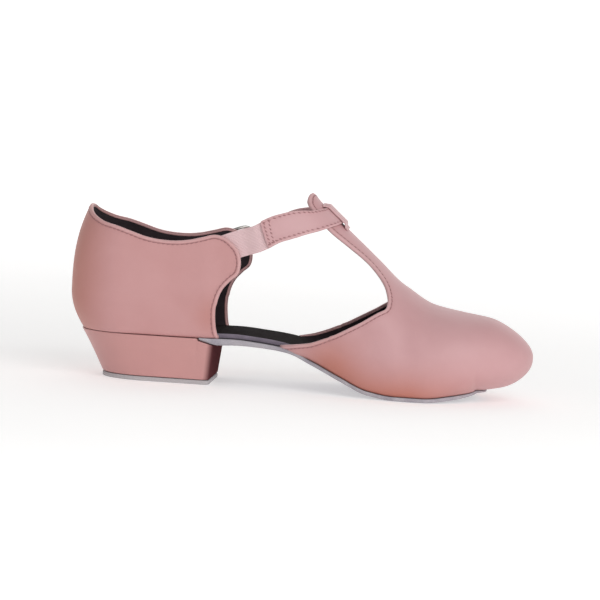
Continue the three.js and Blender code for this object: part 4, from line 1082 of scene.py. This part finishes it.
def ribbon(rows):
    """Frames along a path: returns a placing function, the real length, the place of each row and the
    width. The ribbon steps sideways over the last, and rises along the normal of its centre line."""
    flat = rows[:, :2] * [LENGTH, ARC]
    line = smooth(flat, ROW_STEPS * (len(rows) - 1) + 1)
    run = run_along(line)
    share = np.linspace(0, 1, RIBBON_STEPS)

    def chart(t):
        """Chart points at shares of the run."""
        return np.column_stack([np.interp(np.clip(t, 0, 1) * run[-1], run, line[:, k]) for k in range(2)])

    centre = chart(share)
    ahead, behind = chart(share + 0.004), chart(share - 0.004)
    forward = unit(last_place(*ahead.T) - last_place(*behind.T))
    normal = outward(centre[:, 0] / LENGTH, centre[:, 1] / ARC)
    across = unit(np.cross(normal, forward))
    placed = np.column_stack([run_along(flat), rows[:, 2:]])
    lift, width = (read(placed, k, share * run[-1]) for k in (1, 2))
    length = run_along(last_place(*centre.T))
    row_share = run[::ROW_STEPS] / run[-1]
    row_length = np.interp(row_share, share, length)

    def at(s, values):
        """Values of the centre line at s mm along."""
        values = values.reshape(len(share), -1)
        return np.column_stack([np.interp(s, length, values[:, k]) for k in range(values.shape[1])])

    def put(s, side, height):
        """A point at s mm along, side from -1 to 1 across, height mm over the inner face."""
        moved = step_over(last_place, at(s, centre), at(s, across), side * at(s, width)[:, 0] / 2)
        return last_place(*moved.T) + at(s, normal) * (at(s, lift)[:, 0] + height)[:, None]

    return put, length[-1], row_length, lambda s: at(s, width)[:, 0]


strap_put, strap_length, strap_rows, _ = ribbon(STRAP_PATH)
bar_run = strap_rows[BUCKLE_ROW]                   # the bar of the buckle, in mm along the strap
print("strap length in mm:", round(strap_length, 1), "buckle bar at", round(bar_run, 1))

# %% [markdown]
# The buckle has its own frame of three directions on the quarter: u along the strap to the toe, v across
# and h outwards. Its bar, its pin and the tab are all placed in it.

# %% Place of the buckle
BUCKLE_AT, BUCKLE_TURN = 0.341, 70.8
seat, seat_up = on_last(BUCKLE_AT, BUCKLE_TURN), outward(BUCKLE_AT, BUCKLE_TURN)
seat_forth = on_last(0.383, 66.4) - on_last(0.295, 73.8)
seat_forth = unit(seat_forth - seat_up * (seat_forth @ seat_up))
seat_across = np.cross(seat_up, seat_forth)


def at_seat(u, v, h):
    """A point in the buckle's frame: u along the strap to the toe, v across, h out from the quarter."""
    return (seat + np.stack([u], -1) * seat_forth + np.stack([v], -1) * seat_across
            + np.stack([h], -1) * seat_up)


ring_length, ring_width = BUCKLE_LENGTH / 2 - BUCKLE_WIRE / 2, BUCKLE_WIDTH / 2 - BUCKLE_WIRE / 2
rail_top = BAR_LEVEL + BUCKLE_ARCH + BUCKLE_WIRE / 2
eye_radius = BAR_WIRE / 2 + CLEAR + PRONG_WIRE * 0.3   # of the pin's eye round the bar
PIN_FROM = np.array([eye_radius, BAR_LEVEL + 0.3])     # both ends of the pin: u and h
PIN_TO = np.array([ring_length + 0.8, rail_top + CLEAR + PRONG_WIRE / 2 + 0.5])

# %% [markdown]
# The strap is drawn flat, 12 mm wide, with its holes and its round tail, then laid on the shoe. Its
# edges are rounded by half a millimetre and each hole by 0.3 mm.

# %% The strap as a sheet
HALF = 6.0                                         # the strap's chart is 12 mm wide everywhere
HOLE_START = 4.5                                   # from the bar to the hole that would sit on it
TAIL_LENGTH, END_ROUND = 8.0, 0.8                  # the round tail, and the cut corners of the square end
STRAP_EDGE, HOLE_EDGE, HOLE_STRETCH = 0.5, 0.3, 0.25
s = np.linspace(bar_run - 12, bar_run, 200)
middle = strap_put(s, np.zeros(len(s)), np.full(len(s), STRAP_THICKNESS / 2)) - seat
along_pin, height_pin = middle @ seat_forth, middle @ seat_up
rise = (PIN_TO[1] - PIN_FROM[1]) / (PIN_TO[0] - PIN_FROM[0])
pin_height = PIN_FROM[1] + (along_pin - PIN_FROM[0]) * rise
prong_hole = s[np.abs(pin_height - height_pin).argmin()]
holes = [(bar_run - k * HOLE_PITCH - HOLE_START, 0.0, HOLE_DIAMETER / 2) for k in (-1, 2, 3)]
holes.append((prong_hole, 0.0, HOLE_DIAMETER / 2 + HOLE_STRETCH))
print("holes at", [round(h[0], 1) for h in holes])

END_SLANT = 3.0                                    # the upper corner of the square end lies further on
tail = np.linspace(math.pi / 2, -math.pi / 2, 40)
strap_outline = np.vstack([
    [[END_ROUND, -HALF], [0.0, -HALF + END_ROUND],
     [END_SLANT, HALF - END_ROUND], [END_SLANT + END_ROUND, HALF]],
    np.column_stack([strap_length - TAIL_LENGTH + TAIL_LENGTH * roundness(tail, 2.3) * np.cos(tail),
                     HALF * roundness(tail, 2.3) * np.sin(tail)]),
])
closed_outline = np.vstack([strap_outline, strap_outline[:1]])
inset = np.array([0, 0.03, 0.1, 0.22, 0.42, 0.7, 1.05, 1.5, 2.0, 2.5, 3.0, 3.5, 4.0, 4.5, 5.0, 5.5])
strap_vs = np.concatenate([-HALF + inset, [0.0], (HALF - inset)[::-1]])
round_holes = [np.linspace(h[0] - 1.8, h[0] + 1.8, 15) for h in holes]
strap_us = np.unique(np.concatenate([np.linspace(0, strap_length, 420), *round_holes]))
chart, faces = trim(strap_us, strap_vs, closed_outline, closed_outline, holes)
rim = nearest(chart, closed_outline)[0]
eye = np.min([np.hypot(chart[:, 0] - u, chart[:, 1] - v) - r for u, v, r in holes], axis=0)
edge = np.minimum(rounded(rim, STRAP_EDGE) + rounded(eye, HOLE_EDGE), STRAP_THICKNESS * 0.48)
puff = 0.10 * (1 - (chart[:, 1] / HALF) ** 4)
outer = strap_put(chart[:, 0], chart[:, 1] / HALF, STRAP_THICKNESS - edge + puff)
inner = strap_put(chart[:, 0], chart[:, 1] / HALF, edge * 0.8)
points, faces, _ = thicken(outer, inner, faces)
dressed("buckle_strap", points, faces, [strap_leather], "strap", "strap_leather", rim=np.tile(rim, 2))

# %% [markdown]
# The elastic is a short ribbed band, caught behind the quarter and behind the square end of the strap.
# The keeper is a leather loop: the strap runs through it on top of the bar. Both are ribbons of the
# same kind, drawn as rings with rounded corners.

# %% Elastic and keeper
BEHIND_QUARTER, BEHIND_STRAP = -WALL - CLEAR - ELASTIC_THICKNESS, -ELASTIC_THICKNESS
ELASTIC_PATH = np.array([
    # at   turn   lift   width
    [0.328, -70.4, BEHIND_QUARTER, ELASTIC_WIDTH], [0.375, -66.0, BEHIND_QUARTER, ELASTIC_WIDTH],
    [0.408, -62.4, BEHIND_STRAP, ELASTIC_WIDTH], [0.440, -56.2, BEHIND_STRAP, ELASTIC_WIDTH],
])
OVER_STRAP = CLEAR + STRAP_THICKNESS + CLEAR + 0.15
KEEPER_PATH = np.array([
    # at  turn  lift  width
    [0.5320, 0, CLEAR - 0.4, KEEPER_WIDTH], [0.5340, 0, CLEAR, KEEPER_WIDTH],
    [0.5410, 0, OVER_STRAP, KEEPER_WIDTH], [0.5768, 0, OVER_STRAP, KEEPER_WIDTH],
    [0.5835, 0, CLEAR, KEEPER_WIDTH], [0.5875, 0, CLEAR, KEEPER_WIDTH],
])


def band_rings(rows, thickness, radius, step):
    """Rings of a ribbon with rounded edges, and the attributes run, side and rim in mm."""
    put, length, _, width = ribbon(rows)
    s = np.linspace(0, length, int(length / step) + 1)
    half = width(s)[:, None] / 2
    depth = (1 - np.abs(ACROSS)) * half
    drop = np.minimum(rounded(depth, radius), thickness * 0.49)
    side = np.concatenate([ACROSS, ACROSS[::-1]])
    height = np.concatenate([thickness - drop, drop[:, ::-1]], 1)
    m = len(side)
    points = put(np.repeat(s, m), np.tile(side, len(s)), height.ravel())
    along_mm, side_mm = np.repeat(s, m), (side * half).ravel()
    rim = np.minimum(np.concatenate([depth, depth[:, ::-1]], 1).ravel(),
                     np.minimum(along_mm, length - along_mm))
    return points.reshape(len(s), m, 3), along_mm, side_mm, rim


rings, run, side, _ = band_rings(ELASTIC_PATH, ELASTIC_THICKNESS, 0.35, 0.4)
dressed("inner_elastic", *tube(rings), [elastic_web], "elastic", "elastic", run=run, side=side)
rings, _, _, rim = band_rings(KEEPER_PATH, KEEPER_THICKNESS, 0.4, 0.35)
dressed("leather_keeper", *tube(rings), [strap_leather], "strap_keeper", "leather", rim=rim)

# %% [markdown]
# ## The buckle
# The buckle is a bent wire frame with a bar across its middle, held by a leather tab on the outer side
# of the quarter. Its pin curls round the bar and rests on the front rail. Wires are swept: a circle is
# carried along a path, with a frame of travel, side and up at every step.

# %% Wires
def wire(path, up, radius, sides=20, loop=False):
    """Rings of a round wire along a path; up is a direction that is never along the travel."""
    if loop:
        travel = unit(np.roll(path, -1, axis=0) - np.roll(path, 1, axis=0))
    else:
        travel = unit(np.gradient(path, axis=0))
    side = unit(np.cross(travel, up))
    top = np.cross(side, travel)
    turn = np.linspace(0, 2 * math.pi, sides, endpoint=False)
    radius = np.broadcast_to(radius, len(path))[:, None, None]
    return (path[:, None] + radius * (np.cos(turn)[None, :, None] * side[:, None]
                                      + np.sin(turn)[None, :, None] * top[:, None]))


def hoop(rings):
    """Triangles of rings that close on themselves both ways."""
    n, m = rings.shape[:2]
    a = np.arange(n * m).reshape(n, m)
    b, c = np.roll(a, -1, axis=1), np.roll(a, -1, axis=0)
    d = np.roll(c, -1, axis=1)
    return rings.reshape(-1, 3), outward_turned(rings.reshape(-1, 3), halves(a, b, d, c))


turn = np.linspace(0, 2 * math.pi, 160, endpoint=False)
reach = roundness(turn, 3.6)
u, v = ring_length * reach * np.cos(turn), ring_width * reach * np.sin(turn)
frame_path = at_seat(u, v, BAR_LEVEL + BUCKLE_ARCH * (u / ring_length) ** 2)
bar_v = np.linspace(-ring_width, ring_width, 24)
bar_path = at_seat(0 * bar_v, bar_v, BAR_LEVEL + 0 * bar_v)
dressed("wire_buckle", *merged(hoop(wire(frame_path, seat_up, BUCKLE_WIRE / 2, loop=True)),
                               tube(wire(bar_path, seat_up, BAR_WIRE / 2))),
        [nickel], "buckle_frame", "metal")

curl = np.linspace(-1.25 * math.pi, 0.18 * math.pi, 46)
pin_t = np.linspace(0, 1, 40)[1:]
pin = PIN_FROM + (PIN_TO - PIN_FROM) * pin_t[:, None]
eye_u, eye_h = eye_radius * np.cos(curl), BAR_LEVEL + eye_radius * np.sin(curl)
pin_u, pin_h = np.concatenate([eye_u, pin[:, 0]]), np.concatenate([eye_h, pin[:, 1]])
pin_radius = np.concatenate([np.full(len(curl), PRONG_WIRE * 0.42),
                             PRONG_WIRE * 0.5 * (1 - 0.35 * pin_t ** 2)])
pin_radius[-3:] *= [0.9, 0.7, 0.35]
pin_path = at_seat(pin_u, 0 * pin_u, pin_h)
dressed("buckle_pin", *tube(wire(pin_path, seat_across, pin_radius, 16)), [nickel], "buckle_prong", "metal")

# %% [markdown]
# The tab is a strip of leather sewn to the quarter: it lies flat, curls round the bar and is slit where
# the pin sits. It is a flat profile carried round the bar, left and right of the slit, and whole behind.

# %% Tab
def tab_half(low, high):
    """Rings of one part of the tab between two widths: out along the top, round the bar and back below."""
    lie = np.linspace(-TAB_LENGTH, -CURL * 1.2, 24)
    bend = np.linspace(-math.pi / 2, math.pi * 0.60, 40)
    mid = CURL - TAB_THICKNESS / 2
    rise = np.linspace(0, 1, 24)
    u = np.concatenate([lie, mid * np.cos(bend)])
    h = np.concatenate([CLEAR * 1.5 + TAB_THICKNESS / 2 + rise ** 2 * (BAR_LEVEL - CURL - CLEAR * 1.5),
                        BAR_LEVEL + mid * np.sin(bend)])
    du, dh = np.gradient(u), np.gradient(h)
    size = np.hypot(du, dh)
    nu, nh = -dh / size, du / size
    k = np.linspace(0, 2 * math.pi, 48, endpoint=False)
    reach = roundness(k, 7.0)
    v = (low + high) / 2 + (high - low) / 2 * reach * np.cos(k)
    off = TAB_THICKNESS / 2 * reach * np.sin(k)
    uu, hh = u[:, None] - nu[:, None] * off, h[:, None] - nh[:, None] * off
    vv = np.broadcast_to(v, uu.shape)
    return at_seat(uu.ravel(), vv.ravel(), hh.ravel()).reshape(*uu.shape, 3)


gap = PRONG_WIRE / 2 + CLEAR
left, right_part = tab_half(-TAB_WIDTH / 2, -gap), tab_half(gap, TAB_WIDTH / 2)
flat_u = np.linspace(-TAB_LENGTH, -CURL - 0.6, 20)
reach, low, high = gap + 0.2, 0.5, 1.4             # of the whole part behind the slit
bridge = np.stack([at_seat(flat_u, np.full(20, v), np.full(20, h))
                   for v, h in ((-reach, low), (reach, low), (reach, high), (-reach, high))], 1)
points, faces = merged(tube(left), tube(right_part), tube(bridge))
dressed("buckle_leather_tab", points, faces, [strap_leather], "buckle_tab", "leather",
        rim=np.full(len(points), 4.0))

# %% [markdown]
# ## Stitches
# The folded edges and the strap are sewn with a pink thread about 0.5 mm thick, 2.5 or 2.6 mm to a
# stitch. One stitch is a small spindle with bent-down ends. All stitches of a seam are worked out at
# once: the spindle's points times travel, side and normal at each place.

# %% Seams
def spindle(length, radius, rings=7, sides=6):
    """Points of one stitch in travel, side and normal, and its triangles."""
    t = np.linspace(-1, 1, rings)
    k = np.linspace(0, 2 * math.pi, sides, endpoint=False)
    size = np.sqrt(np.maximum(1 - t ** 4, 0.02)) * radius
    x = np.broadcast_to(t[:, None] * length / 2, (rings, sides))
    up = size[:, None] * np.sin(k) - 0.35 * radius * t[:, None] ** 4
    return tube(np.stack([x, size[:, None] * np.cos(k), up], -1))


def sew(name, points, travel, normal, length=2.0, radius=0.26, slant=10.0):
    """Puts a stitch at each point, turned by slant degrees from the travel, and joins them in one mesh."""
    shape, faces = spindle(length, radius)
    side = unit(np.cross(normal, travel))
    c, s = math.cos(math.radians(slant)), math.sin(math.radians(slant))
    travel, side = c * travel + s * side, c * side - s * travel
    spread = points[:, None] + sum(shape[None, :, k:k + 1] * axis[:, None]
                                   for k, axis in enumerate((travel, side, normal)))
    every = faces[None] + (np.arange(len(points)) * len(shape))[:, None, None]
    dressed(name, spread.reshape(-1, 3), every.reshape(-1, 3), [thread], None, "leather")


PITCH, SEAM_AT, STRAP_PITCH = 2.5, 1.86, 2.6       # mm
ON_SEAM, ON_STRAP = 0.07, 0.14                     # height in mm of the middle of a stitch


def edge_seam(name, place, outline, inward, table, chart):
    """Stitches along the pressed line inside a folded edge."""
    line = even_chart(place, outline, PITCH)
    normal, across = frames_along(place, line, inward)
    moved = step_over(place, line, across, SEAM_AT)
    points = place(moved[:, 0], moved[:, 1], relief(*chart(moved), table) + ON_SEAM)
    seen = slice(2, -2)
    sew(name, points[seen], unit(np.gradient(points, axis=0))[seen], normal[seen])


edge_seam("vamp_edge_stitches", vamp_place, vamp_outline, -1, CREASES, vamp_chart)
edge_seam("quarter_edge_stitches", quarter_place, quarter_outline, 1, HEEL_CREASES, quarter_chart)


def strap_seam(name, s, side, slant, radius=0.27, length=1.75):
    """Stitches on the strap through points given by their run and side."""
    height = np.full(len(s), STRAP_THICKNESS + ON_STRAP)
    points, above = strap_put(s, side, height), strap_put(s, side, height + 1.0)
    sew(name, points, unit(np.gradient(points, axis=0)), unit(above - points), length, radius, slant)


SEAM_SIDE = 1 - 1.25 / HALF                        # the long seams run 1.25 mm inside the edge
SEAM_START, SEAM_SLANT = 1.6, 28.0                 # mm and degrees
for label, sign, start in (("lower", -1, SEAM_START), ("upper", 1, SEAM_START + END_SLANT)):
    row = np.arange(start, strap_length - 9, STRAP_PITCH)
    strap_seam(f"strap_{label}_stitches", row, np.full(len(row), sign * SEAM_SIDE), -SEAM_SLANT)
for number, run in ((1, 1.9), (2, 4.4)):
    side = np.arange(-0.72, 0.73, 1.44 / 5)
    strap_seam(f"strap_end_stitches_{number}", run + END_SLANT * (side + 1) / 2, side, SEAM_SLANT)

# %% [markdown]
# ## Floor and light
# The picture has a white, shadowless studio ground. A pale floor runs far back and up into a backdrop
# in one sweep, and glows more the further it lies from the shoe, so that no horizon shows. One broad
# lamp stands in front, a weak one on the toe's side and another behind, as round a photographer's table.

# %% Stage
FLOOR_END, BEND, SWEEP_HEIGHT = 3.4, 0.8, 3.0       # metres
quarter_turn = np.linspace(0, 1, 60) * math.pi / 2
floor_x = np.linspace(-3.5, 3.5, 30)
floor_y = np.concatenate([np.linspace(-3.6, FLOOR_END, 20), FLOOR_END + BEND * np.sin(quarter_turn),
                          np.full(10, FLOOR_END + BEND)])
floor_z = np.concatenate([np.zeros(20), BEND - BEND * np.cos(quarter_turn),
                          np.linspace(BEND + 0.05, SWEEP_HEIGHT, 10)])
size = (len(floor_x), len(floor_y))
sweep = np.stack([np.broadcast_to(v, size) for v in (floor_x[:, None], floor_y, floor_z)], -1)
index = np.arange(sweep[..., 0].size).reshape(size)
a, b, c, d = index[:-1, :-1], index[1:, :-1], index[1:, 1:], index[:-1, 1:]
paper = plain("studio_paper", "#f6f5f4", 0.9, grain=900.0, height=0.0)
glow = paper.node_tree.nodes["Principled BSDF"]
glow.inputs["Emission Color"].default_value = (1, 1, 1, 1)
away = add(paper.node_tree, "VectorMath", [(0, own_place(paper.node_tree))], operation="LENGTH")
# The paper glows: painted light, stronger the further it lies from the shoe.
paper_glow = span(paper.node_tree, away.outputs["Value"], 0.25, 1.6, 0.36, 0.72)
paper.node_tree.links.new(paper_glow, glow.inputs["Emission Strength"])
ground = build("studio_sweep", sweep.reshape(-1, 3) / MM, halves(a, b, c, d), [paper])

LAMP_TARGET = np.array([0.07, 0.0, 0.04])          # the middle of the shoe, in metres


def lamp(name, power, size, azimuth, elevation, distance):
    """A square area lamp that looks at the shoe from an azimuth and an elevation in degrees."""
    light = bpy.data.lights.new(name, "AREA")
    light.energy, light.size = power, size
    stand(name, light, camera_axes(azimuth, elevation, 0), LAMP_TARGET, distance)


lamp("broad_front_lamp", 12, 1.3, 32, 28, 1.7)
lamp("toe_side_lamp", 1.6, 0.8, 60, 24, 1.6)
lamp("back_lamp", 2.8, 1.2, 190, 55, 1.8)
world = bpy.data.worlds.new("pale_room")
world.use_nodes = True
world.node_tree.nodes["Background"].inputs["Color"].default_value = (1, 1, 1, 1)
world.node_tree.nodes["Background"].inputs["Strength"].default_value = 0.42
bpy.context.scene.world = world
bpy.context.scene.view_settings.view_transform = "Standard"
